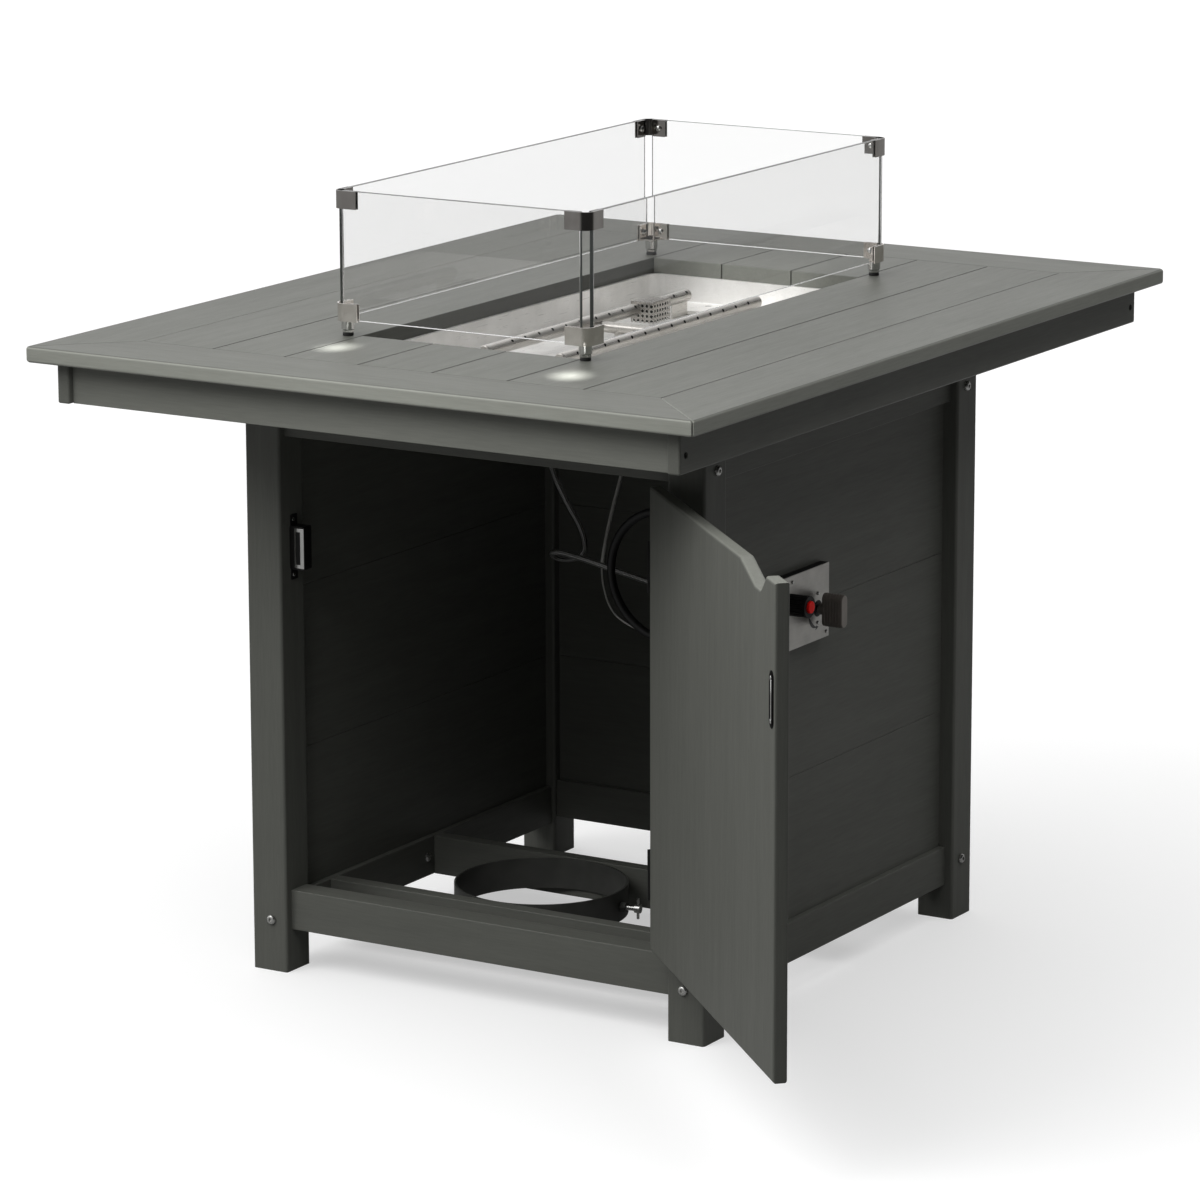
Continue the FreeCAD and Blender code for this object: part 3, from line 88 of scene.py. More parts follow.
# %% A helper that lays a round line along its points
def round_line(name, points_mm, size_mm, body="table_frame"):
    """One open NURBS curve with a round section, through the frame in millimetres."""
    data = bpy.data.curves.new(name, "CURVE")
    data.dimensions = "3D"
    data.bevel_depth = size_mm / 2000
    data.bevel_resolution = 4
    data.resolution_u = 12
    data.use_fill_caps = True
    spline = data.splines.new("NURBS")
    spline.points.add(len(points_mm) - 1)
    for point, (x, y, z) in zip(spline.points, points_mm):
        point.co = (x / 1000, y / 1000, z / 1000, 1)
    spline.order_u = 3
    spline.use_endpoint_u = True
    line = add_object(name, data)
    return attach(line, body)


# %% Gas hose, with the loop that hangs behind the door
VALVE_INLET = (-56, -285, 545)
REGULATOR = (-116, -252, 425)
LOOP_MIDDLE = (-145, 564)
LOOP_RADIUS = 93
LOOP_STEPS, HALF_STEP = 11, 13.5
# A curve of this order touches the middle of each side of its control polygon, so its corners lie outside.
LOOP_REACH = LOOP_RADIUS / math.cos(math.radians(HALF_STEP))


def hose_points():
    """From the valve down to the loop, round it while it drifts sideways, and on to the regulator."""
    points = [VALVE_INLET, (-56, -243, 545), (-62, -208, 514), (-80, -177, 483)]
    for i in range(LOOP_STEPS):
        angle = math.radians(-90 + 2 * HALF_STEP * i)
        points.append((-96 - 2.1 * i, LOOP_MIDDLE[0] + LOOP_REACH * math.cos(angle),
                       LOOP_MIDDLE[1] + LOOP_REACH * math.sin(angle)))
    return points + [(-117, -247, 528), (-117, -251.5, 493), (-116, -252, 457), REGULATOR]


hose = round_line("gas_hose_rubber", hose_points(), 12)
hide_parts("gas_hose")
print("gas hose through", len(hose_points()), "control points")

# %% Steel flex line from the valve's side of the cabinet up to the burner
VALVE_OUTLET = (-74, -285, 528)
FLEX_POINTS = [
    (40, 24, 838), (40, 25, 800), (38, 48, 768), (34, 98, 750), (28, 133, 716), (20, 122, 668),
    (14, 92, 622), (9, 66, 592), (3.5, 54, 567), (-4, 58, 551), (-19, 71, 548), (-38, 80, 554),
    (-56, 75, 564.5), (-69, 54, 571), (-72, 26, 568.5), (-72, -22, 559.5), (-72, -74, 549),
    (-72, -124, 540.5), (-72, -180, 533), (-74, -234, 528.5), VALVE_OUTLET]
flex = round_line("burner_flex_braid", FLEX_POINTS, 8)
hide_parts("burner_flex_line")
print("flex line through", len(FLEX_POINTS), "control points")

# %% Spark lead: its pale sleeve, and the wire below it
SLEEVE_POINTS = [
    (173, 40, 853.5), (173, 36, 812), (150, 30, 780), (110, 26, 750), (72, 22, 710), (40, 19, 660),
    (17, 21, 612), (2, 23.5, 566), (-5, 23, 541)]
WIRE_POINTS = [
    (-5, 23, 541), (-9.5, 20, 526), (-18, 11, 511), (-32, -4, 496), (-47, -24, 485), (-61, -50, 479),
    (-73, -84, 473), (-79, -126, 469), (-83, -172, 464), (-88, -222, 468), (-97, -260, 484),
    (-115, -282, 512), (-133, -287, 540), (-140, -297, 556), (-140, -311, 557)]
sleeve = round_line("spark_lead_sleeve", SLEEVE_POINTS, 5)
wire = round_line("spark_lead_wire", WIRE_POINTS, 2.4)
for lead, start, length, size in ((sleeve, SLEEVE_POINTS[0], 0.372, 0.005),
                                  (wire, WIRE_POINTS[0], 0.440, 0.0024)):
    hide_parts("igniter_lead")
print("lines:", [line.name for line in (hose, flex, sleeve, wire)])

# %% [markdown]
# ## Shader groups
# Several finishes share the same fine structure, so each structure is built once as a node group with its own
# inputs, and each material sets them. A group only puts out masks and heights; the shader stays outside it.
# The helpers below each add one kind of node, so that a finish reads as a short sum.

# %% Helpers that start a group and add its nodes
def shader_group(name, inputs, outputs):
    """An empty node group with the given sockets, and its input and output nodes."""
    group = bpy.data.node_groups.new(name, "ShaderNodeTree")
    for title, kind, value in inputs:
        socket = group.interface.new_socket(title, in_out="INPUT", socket_type=kind)
        if value is not None:
            socket.default_value = value
    for title, kind in outputs:
        group.interface.new_socket(title, in_out="OUTPUT", socket_type=kind)
    return group, group.nodes.new("NodeGroupInput"), group.nodes.new("NodeGroupOutput")


def feed(tree, socket, value):
    """Links a socket to another one, or writes a number or a colour into it."""
    if isinstance(value, bpy.types.NodeSocket):
        tree.links.new(value, socket)
    else:
        socket.default_value = value


def math_node(tree, operation, first, second=0.0):
    """A Math node; each operand is a socket or a number."""
    node = tree.nodes.new("ShaderNodeMath")
    node.operation = operation
    feed(tree, node.inputs[0], first)
    feed(tree, node.inputs[1], second)
    return node.outputs[0]


def noise(tree, vector, scale, detail=3.0, rough=0.5):
    """A Noise texture's value, read at the given vector."""
    node = tree.nodes.new("ShaderNodeTexNoise")
    feed(tree, node.inputs["Scale"], scale)
    node.inputs["Detail"].default_value = detail
    node.inputs["Roughness"].default_value = rough
    tree.links.new(vector, node.inputs["Vector"])
    return node.outputs["Fac"]


def squeezed(tree, vector, scale):
    """The same coordinates with each axis scaled: a small factor draws a pattern out along that axis."""
    node = tree.nodes.new("ShaderNodeMapping")
    node.inputs["Scale"].default_value = scale
    tree.links.new(vector, node.inputs["Vector"])
    return node.outputs[0]


def split(tree, vector):
    """The X, Y and Z of a vector."""
    node = tree.nodes.new("ShaderNodeSeparateXYZ")
    tree.links.new(vector, node.inputs[0])
    return node.outputs


# %% [markdown]
# ### Board grain
# The boards are recycled plastic, pressed with a shallow wood grain: long soft streaks, and over them a fine
# pebble that makes the surface satin. Stretched noise gives the streaks and plain noise the pebble. The tone
# mixes the streaks with a slow cloud, since no two places of such a board have quite the same grey.

# %% Board grain group
grain, grain_in, grain_out = shader_group(
    "board_grain", [("Vector", "NodeSocketVector", None), ("Streaks", "NodeSocketFloat", 1.0)],
    [("Tone", "NodeSocketFloat"), ("Height", "NodeSocketFloat")])
drawn_out = squeezed(grain, grain_in.outputs["Vector"], (0.06, 1, 1))
streak = noise(grain, drawn_out, scale=420, detail=4.0, rough=0.6)
wide_streak = noise(grain, drawn_out, scale=60, detail=2.0)
pebble = noise(grain, grain_in.outputs["Vector"], scale=1500, detail=2.0)
cloud = noise(grain, grain_in.outputs["Vector"], scale=5, detail=2.0)
STREAK_SHARE, WIDE_SHARE, CLOUD_SHARE, PEBBLE_HEIGHT = 0.5, 0.3, 0.2, 0.45
tone = math_node(grain, "ADD", math_node(grain, "MULTIPLY", streak, STREAK_SHARE),
                 math_node(grain, "ADD", math_node(grain, "MULTIPLY", wide_streak, WIDE_SHARE),
                           math_node(grain, "MULTIPLY", cloud, CLOUD_SHARE)))
height = math_node(grain, "ADD", math_node(grain, "MULTIPLY", streak, grain_in.outputs["Streaks"]),
                   math_node(grain, "MULTIPLY", pebble, PEBBLE_HEIGHT))
grain.links.new(tone, grain_out.inputs["Tone"])
grain.links.new(height, grain_out.inputs["Height"])
print("grain group of", len(grain.nodes), "nodes")

# %% [markdown]
# ### Brushed metal
# Stainless sheet is brushed in one direction, which leaves long hairlines. They are too fine to model, but
# they vary the roughness and bend the highlight, so the group gives one value for both. A second, slow noise
# stands for smudges and changes the colour a little.

# %% Brushed metal group
brushed, brushed_in, brushed_out = shader_group(
    "brushed_lines", [("Vector", "NodeSocketVector", None), ("Scale", "NodeSocketFloat", 900.0)],
    [("Lines", "NodeSocketFloat"), ("Smudge", "NodeSocketFloat")])
hairline_place = squeezed(brushed, brushed_in.outputs["Vector"], (0.02, 1, 1))
brushed.links.new(noise(brushed, hairline_place, brushed_in.outputs["Scale"], detail=3.0),
                  brushed_out.inputs["Lines"])
brushed.links.new(noise(brushed, brushed_in.outputs["Vector"], scale=30, detail=4.0),
                  brushed_out.inputs["Smudge"])
print("brushed group of", len(brushed.nodes), "nodes")

# %% [markdown]
# ### Skin of paint, plastic and rubber
# A coat or a moulded part is one colour that drifts a little from place to place, under a fine skin that
# breaks the highlight. Both are plain noise. Only the grit of the skin differs between a paint and a rubber,
# so it is the group's own input.

# %% Skin group
skin, skin_in, skin_out = shader_group(
    "fine_skin", [("Vector", "NodeSocketVector", None), ("Grit", "NodeSocketFloat", 900.0)],
    [("Drift", "NodeSocketFloat"), ("Skin", "NodeSocketFloat")])
skin.links.new(noise(skin, skin_in.outputs["Vector"], scale=25, detail=3.0), skin_out.inputs["Drift"])
skin.links.new(noise(skin, skin_in.outputs["Vector"], skin_in.outputs["Grit"], detail=2.0),
               skin_out.inputs["Skin"])
print("groups:", [group.name for group in bpy.data.node_groups])

# %% [markdown]
# ## Materials
# Every finish is a Principled shader with its own constants, and a group or a texture that varies its colour,
# roughness and bump. The helpers below start such a material and connect what varies.

# %% Helpers for materials
def new_material(name, color, rough, metal=0.0):
    """A Principled material, with the tree, the shader and object coordinates to build on."""
    material = bpy.data.materials.new(name)
    material.use_nodes = True
    tree = material.node_tree
    shader = tree.nodes["Principled BSDF"]
    shader.inputs["Base Color"].default_value = (*color, 1)
    shader.inputs["Roughness"].default_value = rough
    shader.inputs["Metallic"].default_value = metal
    place = tree.nodes.new("ShaderNodeTexCoord").outputs["Object"]
    return material, tree, shader, place


def turned(tree, vector, angles):
    """The same coordinates, turned so that the grain's long direction lies where it should."""
    mapping = tree.nodes.new("ShaderNodeMapping")
    mapping.inputs["Rotation"].default_value = [math.radians(a) for a in angles]
    tree.links.new(vector, mapping.inputs["Vector"])
    return mapping.outputs[0]


def use_group(tree, group, vector, **values):
    """A group node fed with a vector and with its own values."""
    node = tree.nodes.new("ShaderNodeGroup")
    node.node_tree = group
    tree.links.new(vector, node.inputs["Vector"])
    for title, value in values.items():
        node.inputs[title].default_value = value
    return node


def ramp(tree, value, low, high, start=0.0, end=1.0):
    """A colour that goes from low to high as the value goes from start to end."""
    node = tree.nodes.new("ShaderNodeValToRGB")
    node.color_ramp.elements[0].color = (*low, 1)
    node.color_ramp.elements[1].color = (*high, 1)
    node.color_ramp.elements[0].position = start
    node.color_ramp.elements[1].position = end
    tree.links.new(value, node.inputs["Fac"])
    return node.outputs["Color"]


def map_range(tree, value, start, end, low, high):
    """A number that goes from low to high as the value goes from start to end."""
    node = tree.nodes.new("ShaderNodeMapRange")
    for title, number in (("From Min", start), ("From Max", end), ("To Min", low), ("To Max", high)):
        node.inputs[title].default_value = number
    tree.links.new(value, node.inputs["Value"])
    return node.outputs["Result"]


def spread(tree, value, low, high):
    """A number from low to high over the part of a noise where nearly all its values lie."""
    return map_range(tree, value, 0.3, 0.7, low, high)


def mix_color(tree, factor, first, second, blend="MIX"):
    """A colour between first and second, each a socket or a colour with its alpha."""
    node = tree.nodes.new("ShaderNodeMix")
    node.data_type = "RGBA"
    node.blend_type = blend
    tree.links.new(factor, node.inputs["Factor"])
    feed(tree, node.inputs["A"], first)
    feed(tree, node.inputs["B"], second)
    return node.outputs["Result"]


def add_bump(tree, shader, height, strength, depth):
    """Bumps the surface: depth is in metres."""
    node = tree.nodes.new("ShaderNodeBump")
    node.inputs["Strength"].default_value = strength
    node.inputs["Distance"].default_value = depth
    tree.links.new(height, node.inputs["Height"])
    tree.links.new(node.outputs["Normal"], shader.inputs["Normal"])


# %% [markdown]
# ### Boards
# All boards are the same grey plastic, but their faces differ: the flat ones carry the pressed grain and the
# rounded edges are milled smoother. Some faces also carry painted light or painted shade: the upright faces
# of the top's boards are lighter, the seam walls that face the control side and the door's free end are
# darker, and the door's top edge is lighter. Where a face points tells which it is, so masks made from the
# normal change the colour and the roughness, and no face has to be picked by hand. A long board's grain runs
# along the board, so there is one board material per direction.

# %% Masks that tell the faces of a board apart
FLAT_LIMIT = 0.985
UPRIGHT_LIMIT = 0.7


def off_axis(tree):
    """Two masks: 1 on rounded edges, where no axis is square to the face, and 1 on upright faces."""
    facing = split(tree, tree.nodes.new("ShaderNodeNewGeometry").outputs["Normal"])
    sizes = [math_node(tree, "ABSOLUTE", facing[axis]) for axis in "XYZ"]
    largest = math_node(tree, "MAXIMUM", math_node(tree, "MAXIMUM", sizes[0], sizes[1]), sizes[2])
    return (math_node(tree, "LESS_THAN", largest, FLAT_LIMIT),
            math_node(tree, "LESS_THAN", sizes[2], UPRIGHT_LIMIT))


def facing_way(tree, way, reach):
    """1 on the faces that look along way in the piece's own space, and 0 elsewhere."""
    parts = split(tree, tree.nodes.new("ShaderNodeTexCoord").outputs["Normal"])
    total = 0.0
    for axis, share in zip("XYZ", way):
        total = math_node(tree, "ADD", math_node(tree, "MULTIPLY", parts[axis], share), total)
    return math_node(tree, "GREATER_THAN", total, reach)


# %% Boards, one material per grain direction
BOARD_MEAN = (0.105, 0.108, 0.095)
BOARD_DARK, BOARD_LIGHT = (0.103, 0.106, 0.094), (0.125, 0.128, 0.114)
TONE_FROM, TONE_TO = 0.35, 0.65
EDGE_SMOOTHER = 0.18


def board_material(name, angles, streaks=1.0, lift=1.0, upright_painted_light=1.0, smooth_edges=True, sides=()):
    """Grey board: lift makes it lighter, and the second factor makes its upright faces lighter, which is
    painted light.

    Each of sides is a way, how near to it a face has to look, and what its colour is multiplied by: painted
    shade or painted light on the faces that look that way, such as the seam walls and the door's end and top.
    """
    material, tree, shader, place = new_material(name, BOARD_MEAN, 0.5)
    node = use_group(tree, grain, turned(tree, place, angles), Streaks=streaks)
    low, high = [tuple(lift * part for part in base) for base in (BOARD_DARK, BOARD_LIGHT)]
    color = ramp(tree, node.outputs["Tone"], low, high, TONE_FROM, TONE_TO)
    rounding, upright = off_axis(tree)
    # Painted light: the upright faces get lighter tones of the same grey.
    if upright_painted_light != 1.0:
        lit_tones = [tuple(upright_painted_light * part for part in base) for base in (low, high)]
        color = mix_color(tree, upright, color,
                          ramp(tree, node.outputs["Tone"], *lit_tones, TONE_FROM, TONE_TO))
    for side_way, reach, factor in sides:
        color = mix_color(tree, facing_way(tree, side_way, reach), color, (factor, factor, factor, 1),
                          blend="MULTIPLY")
    tree.links.new(color, shader.inputs["Base Color"])
    rough = spread(tree, node.outputs["Tone"], 0.52, 0.44)
    if smooth_edges:
        rough = math_node(tree, "SUBTRACT", rough, math_node(tree, "MULTIPLY", rounding, EDGE_SMOOTHER))
    tree.links.new(rough, shader.inputs["Roughness"])
    shader.inputs["Specular IOR Level"].default_value = 0.25
    add_bump(tree, shader, node.outputs["Height"], strength=0.25, depth=0.0002)
    return material


# Degrees that turn the grain from the x axis, along which the group draws it out, to the board's own axis.
ALONG_X, ALONG_Y, ALONG_Z = (0, 0, 0), (0, 0, 90), (0, 90, 0)
# Painted shade: the seam walls that face the control side are 0.48 times as light.
SEAM_WALL_SHADE = ((0, -1, 0), 0.25, 0.48)
# Painted shade on the door's free end, 0.7 times as light, and painted light on its top edge, 1.6 times
# lighter.
DOOR_END_SHADE = ((-0.70, -0.71, 0), 0.7, 0.7)
DOOR_TOP_LIGHT = ((0, 0, 1), 0.6, 1.6)

board_along_x = board_material("board_along_x", ALONG_X)
board_along_y = board_material("board_along_y", ALONG_Y)
board_along_z = board_material("board_along_z", ALONG_Z)
# Painted light: the upright faces of the border boards are 2.2 times lighter.
border_along_x = board_material("border_along_x", ALONG_X, upright_painted_light=2.2)
border_along_y = board_material("border_along_y", ALONG_Y, upright_painted_light=2.2)
# Painted light: the aprons are 1.45 times lighter than the other boards, as more light falls on them.
apron_painted_lit_along_y = board_material("apron_painted_lit_along_y", ALONG_Y, lift=1.45)
# Painted light on the deck boards' upright faces, 1.35 times lighter, and painted shade on their seam walls.
deck_along_x = board_material("deck_along_x", ALONG_X, upright_painted_light=1.35, sides=(SEAM_WALL_SHADE,))
# The door carries painted shade on its free end and painted light on its top edge.
board_door = board_material("board_door", ALONG_Z, smooth_edges=False, sides=(DOOR_END_SHADE, DOOR_TOP_LIGHT))
print("materials with the boards:", len(bpy.data.materials))

# %% [markdown]
# ### Metals
# The pan, the control plate, the clips and the burner are stainless steel of different shine, and the
# fittings are plated. Each takes the brushed group with its own two tones and its own range of roughness. The
# low clips of the guard look brighter than the high ones, so a mask by height lifts their colour, which is
# painted light on the same steel.

# %% Brushed and plated metals
def brushed_material(name, low, high, rough, angles=ALONG_X, scale=900.0, metal=1.0):
    """Metal with hairlines: two tones that smudges mix, and the least and the most roughness."""
    material, tree, shader, place = new_material(name, high, rough[0], metal)
    node = use_group(tree, brushed, turned(tree, place, angles), Scale=scale)
    tree.links.new(ramp(tree, node.outputs["Smudge"], low, high, 0.3, 0.7), shader.inputs["Base Color"])
    tree.links.new(spread(tree, node.outputs["Lines"], *rough), shader.inputs["Roughness"])
    add_bump(tree, shader, node.outputs["Lines"], strength=0.15, depth=0.00008)
    return material


def paint_light_below(material, height, factor):
    """Multiplies the colour of what lies below a height in metres: painted light."""
    tree = material.node_tree
    base = tree.nodes["Principled BSDF"].inputs["Base Color"]
    parts = split(tree, tree.nodes.new("ShaderNodeTexCoord").outputs["Object"])
    low_part = math_node(tree, "LESS_THAN", parts["Z"], height)
    tree.links.new(mix_color(tree, low_part, base.links[0].from_socket, (factor, factor, factor, 1),
                             blend="MULTIPLY"), base)


stainless = brushed_material("stainless_sheet", (0.74, 0.73, 0.71), (0.86, 0.85, 0.83), (0.26, 0.40),
                             metal=0.45)
stainless_plate = brushed_material("stainless_plate", (0.40, 0.39, 0.37), (0.52, 0.51, 0.48), (0.28, 0.42))
clip_steel = brushed_material("clip_steel", (0.34, 0.32, 0.30), (0.46, 0.44, 0.42), (0.07, 0.15), ALONG_Z)
# Painted light: the clips below 1.02 m are 2.1 times brighter.
paint_light_below(clip_steel, height=1.02, factor=2.1)
burner_steel = brushed_material("burner_steel", (0.50, 0.48, 0.45), (0.62, 0.60, 0.57), (0.24, 0.36),
                                metal=0.85)
zinc = brushed_material("zinc_plate", (0.45, 0.45, 0.44), (0.62, 0.62, 0.60), (0.22, 0.34), scale=400.0)
bright_steel = brushed_material("bright_steel", (0.60, 0.60, 0.59), (0.74, 0.74, 0.72), (0.12, 0.22),
                                scale=300.0)
print("materials with the metals:", len(bpy.data.materials))

# %% [markdown]
# ### Paint, plastic and rubber
# Hinges and tank ring are coated steel, the control box, knob and button are moulded plastic, and the hose
# and the feet are rubber. They differ in colour, shine and grit only, so one helper makes them all. A near
# black that hardly shines is painted shade in the burner's ports and inside the pilot cover, and it is also
# the colour of the strike plate.

# %% Coated and moulded finishes
def coated_material(name, low, high, rough, grit, depth, metal=0.0, specular=0.5):
    """Paint, plastic or rubber: one colour that drifts a little, over a fine skin."""
    material, tree, shader, place = new_material(name, high, rough[0], metal)
    shader.inputs["Specular IOR Level"].default_value = specular
    node = use_group(tree, skin, place, Grit=grit)
    tree.links.new(ramp(tree, node.outputs["Drift"], low, high, 0.3, 0.7), shader.inputs["Base Color"])
    tree.links.new(spread(tree, node.outputs["Skin"], *rough), shader.inputs["Roughness"])
    add_bump(tree, shader, node.outputs["Skin"], strength=0.25, depth=depth)
    return material


dark_coat = coated_material("dark_coat", (0.045, 0.046, 0.042), (0.065, 0.066, 0.060), (0.34, 0.48),
                            grit=1400, depth=0.0001)
black_coat = coated_material("black_coat", (0.010, 0.010, 0.010), (0.020, 0.020, 0.020), (0.28, 0.42),
                             grit=1200, depth=0.0001)
black_plastic = coated_material("black_plastic", (0.006, 0.006, 0.006), (0.012, 0.012, 0.012), (0.40, 0.55),
                                grit=2500, depth=0.00008, specular=0.25)
grey_plastic = coated_material("grey_plastic", (0.090, 0.078, 0.068), (0.130, 0.114, 0.100), (0.32, 0.45),
                               grit=2500, depth=0.00008)
pale_plastic = coated_material("pale_plastic", (0.20, 0.18, 0.16), (0.27, 0.245, 0.22), (0.32, 0.45),
                               grit=2500, depth=0.00008)
red_plastic = coated_material("red_plastic", (0.80, 0.008, 0.006), (0.92, 0.014, 0.010), (0.40, 0.52),
                              grit=600, depth=0.00002, specular=0.15)
hose_rubber = coated_material("hose_rubber", (0.003, 0.003, 0.003), (0.006, 0.006, 0.006), (0.46, 0.58),
                              grit=700, depth=0.0001, specular=0.35)
foot_rubber = coated_material("foot_rubber", (0.008, 0.008, 0.008), (0.016, 0.016, 0.016), (0.55, 0.7),
                              grit=900, depth=0.0001)
# Near black: painted shade in the ports and inside the pilot cover, and the strike plate's colour.
near_black = coated_material("near_black", (0.002, 0.002, 0.002), (0.004, 0.004, 0.004), (0.6, 0.75),
                             grit=900, depth=0.00002, specular=0.1)
brass = coated_material("brass_fitting", (0.50, 0.34, 0.12), (0.62, 0.44, 0.18), (0.22, 0.36),
                        grit=900, depth=0.00004, metal=1.0)
grey_paint = coated_material("regulator_paint", (0.11, 0.115, 0.12), (0.15, 0.155, 0.16), (0.38, 0.5),
                             grit=500, depth=0.0002)
white_sleeve = coated_material("white_sleeve", (0.42, 0.42, 0.39), (0.60, 0.60, 0.57), (0.6, 0.75),
                               grit=2600, depth=0.0004)
print("materials with the coats:", len(bpy.data.materials))

# %% [markdown]
# ### Perforated sheet
# The pilot cover is bent from steel sheet with rows of round holes. The group says where a hole is, from the
# two coordinates that lie in the sheet, which the direction of the face tells. The holes are an alpha of 0,
# so they are really open, at no cost in edges.

# %% Perforation group
RIM_WIDTH = 0.07
holes, holes_in, holes_out = shader_group(
    "round_holes", [("Vector", "NodeSocketVector", None), ("Facing", "NodeSocketVector", None),
                    ("Pitch", "NodeSocketFloat", 0.0072), ("Radius", "NodeSocketFloat", 0.33)],
    [("Hole", "NodeSocketFloat"), ("Rim", "NodeSocketFloat")])
spots = split(holes, holes_in.outputs["Vector"])
faces = split(holes, holes_in.outputs["Facing"])
reach = 0.0
for axis in "XYZ":
    cell = math_node(holes, "FRACT", math_node(holes, "DIVIDE", spots[axis], holes_in.outputs["Pitch"]))
    off = math_node(holes, "SUBTRACT", cell, 0.5)
    square = math_node(holes, "MULTIPLY", off, off)
    across = math_node(holes, "LESS_THAN", math_node(holes, "ABSOLUTE", faces[axis]), 0.7)
    reach = math_node(holes, "ADD", math_node(holes, "MULTIPLY", square, across), reach)
reach = math_node(holes, "SQRT", reach)
rim_edge = math_node(holes, "ADD", holes_in.outputs["Radius"], RIM_WIDTH)
holes.links.new(math_node(holes, "LESS_THAN", reach, holes_in.outputs["Radius"]), holes_out.inputs["Hole"])
holes.links.new(math_node(holes, "LESS_THAN", reach, rim_edge), holes_out.inputs["Rim"])
print("hole group of", len(holes.nodes), "nodes")

# %% Perforated steel
perforated, tree, shader, place = new_material("perforated_steel", (0.5, 0.49, 0.46), 0.3, 0.8)
node = use_group(tree, holes, place)
tree.links.new(tree.nodes.new("ShaderNodeNewGeometry").outputs["True Normal"], node.inputs["Facing"])
lines = use_group(tree, brushed, place, Scale=900.0)
tree.links.new(ramp(tree, node.outputs["Rim"], (0.44, 0.42, 0.39), (0.66, 0.64, 0.61)),
               shader.inputs["Base Color"])
tree.links.new(spread(tree, lines.outputs["Lines"], 0.24, 0.36), shader.inputs["Roughness"])
tree.links.new(math_node(tree, "SUBTRACT", 1.0, node.outputs["Hole"]), shader.inputs["Alpha"])
print(perforated.name, "has", len(tree.nodes), "nodes")

# %% [markdown]
# ### Fasteners
# One node of the frame holds all bolts and screws. Those of the legs and rails are zinc plated and those of
# the aprons are dark. The aprons stand furthest out, so the distance from the table's middle picks the
# colour.

# %% Fasteners
APRON_FROM_X = 0.6
fastener, tree, shader, place = new_material("fastener_steel", (0.5, 0.5, 0.49), 0.3, 1.0)
node = use_group(tree, brushed, place, Scale=400.0)
frame_bolt = math_node(tree, "LESS_THAN", math_node(tree, "ABSOLUTE", split(tree, place)["X"]), APRON_FROM_X)
shade = math_node(tree, "MULTIPLY", frame_bolt, spread(tree, node.outputs["Smudge"], 0.8, 1.0))
tree.links.new(ramp(tree, shade, (0.03, 0.03, 0.028), (0.60, 0.60, 0.58)), shader.inputs["Base Color"])
tree.links.new(spread(tree, node.outputs["Lines"], 0.22, 0.36), shader.inputs["Roughness"])
print(fastener.name, "has", len(tree.nodes), "nodes")

# %% [markdown]
# ### Steel braid
# The flex line's cover is woven from fine steel wires. Two waves that cross at an angle, read along the
# tube's own length and round it, give the little diamonds of the weave.

# %% Steel braid
WAVES_ALONG, WAVES_ROUND = 230, 4
braid, tree, shader, _ = new_material("steel_braid", (0.60, 0.60, 0.59), 0.3, 1.0)
tube_place = tree.nodes.new("ShaderNodeTexCoord").outputs["UV"]
weave = []
for lean in (1.0, -1.0):
    parts = split(tree, squeezed(tree, tube_place, (WAVES_ALONG, WAVES_ROUND, 1)))
    phase = math_node(tree, "ADD", parts["X"], math_node(tree, "MULTIPLY", parts["Y"], lean))
    weave.append(math_node(tree, "SINE", math_node(tree, "MULTIPLY", phase, 2 * math.pi)))
crossing = math_node(tree, "MULTIPLY", weave[0], weave[1])
tree.links.new(ramp(tree, crossing, (0.16, 0.16, 0.155), (0.66, 0.66, 0.65), 0.2, 0.7),
               shader.inputs["Base Color"])
add_bump(tree, shader, crossing, strength=0.6, depth=0.0006)
print(braid.name, "has", len(tree.nodes), "nodes")

# %% [markdown]
# ### Glass
# The panes are clear float glass. Looked at through its face, glass hardly has a colour; looked at through
# its edge, the light has come a long way inside it and it looks dark. The edge faces get that tint from where
# they point: a pane's big faces point along its thickness. Light goes through the panes without a dark
# shadow.

# %% Glass, one material per direction of the panes
EDGE_SIDE, EDGE_TOP = (0.006, 0.008, 0.007), (0.012, 0.015, 0.014)
EDGE_ROUGH = 0.3


def rays(tree, *kinds):
    """1 for rays of the given kinds and 0 for the others."""
    path = tree.nodes.new("ShaderNodeLightPath")
    value = path.outputs[kinds[0]]
    for kind in kinds[1:]:
        value = math_node(tree, "MAXIMUM", value, path.outputs[kind])
    return value


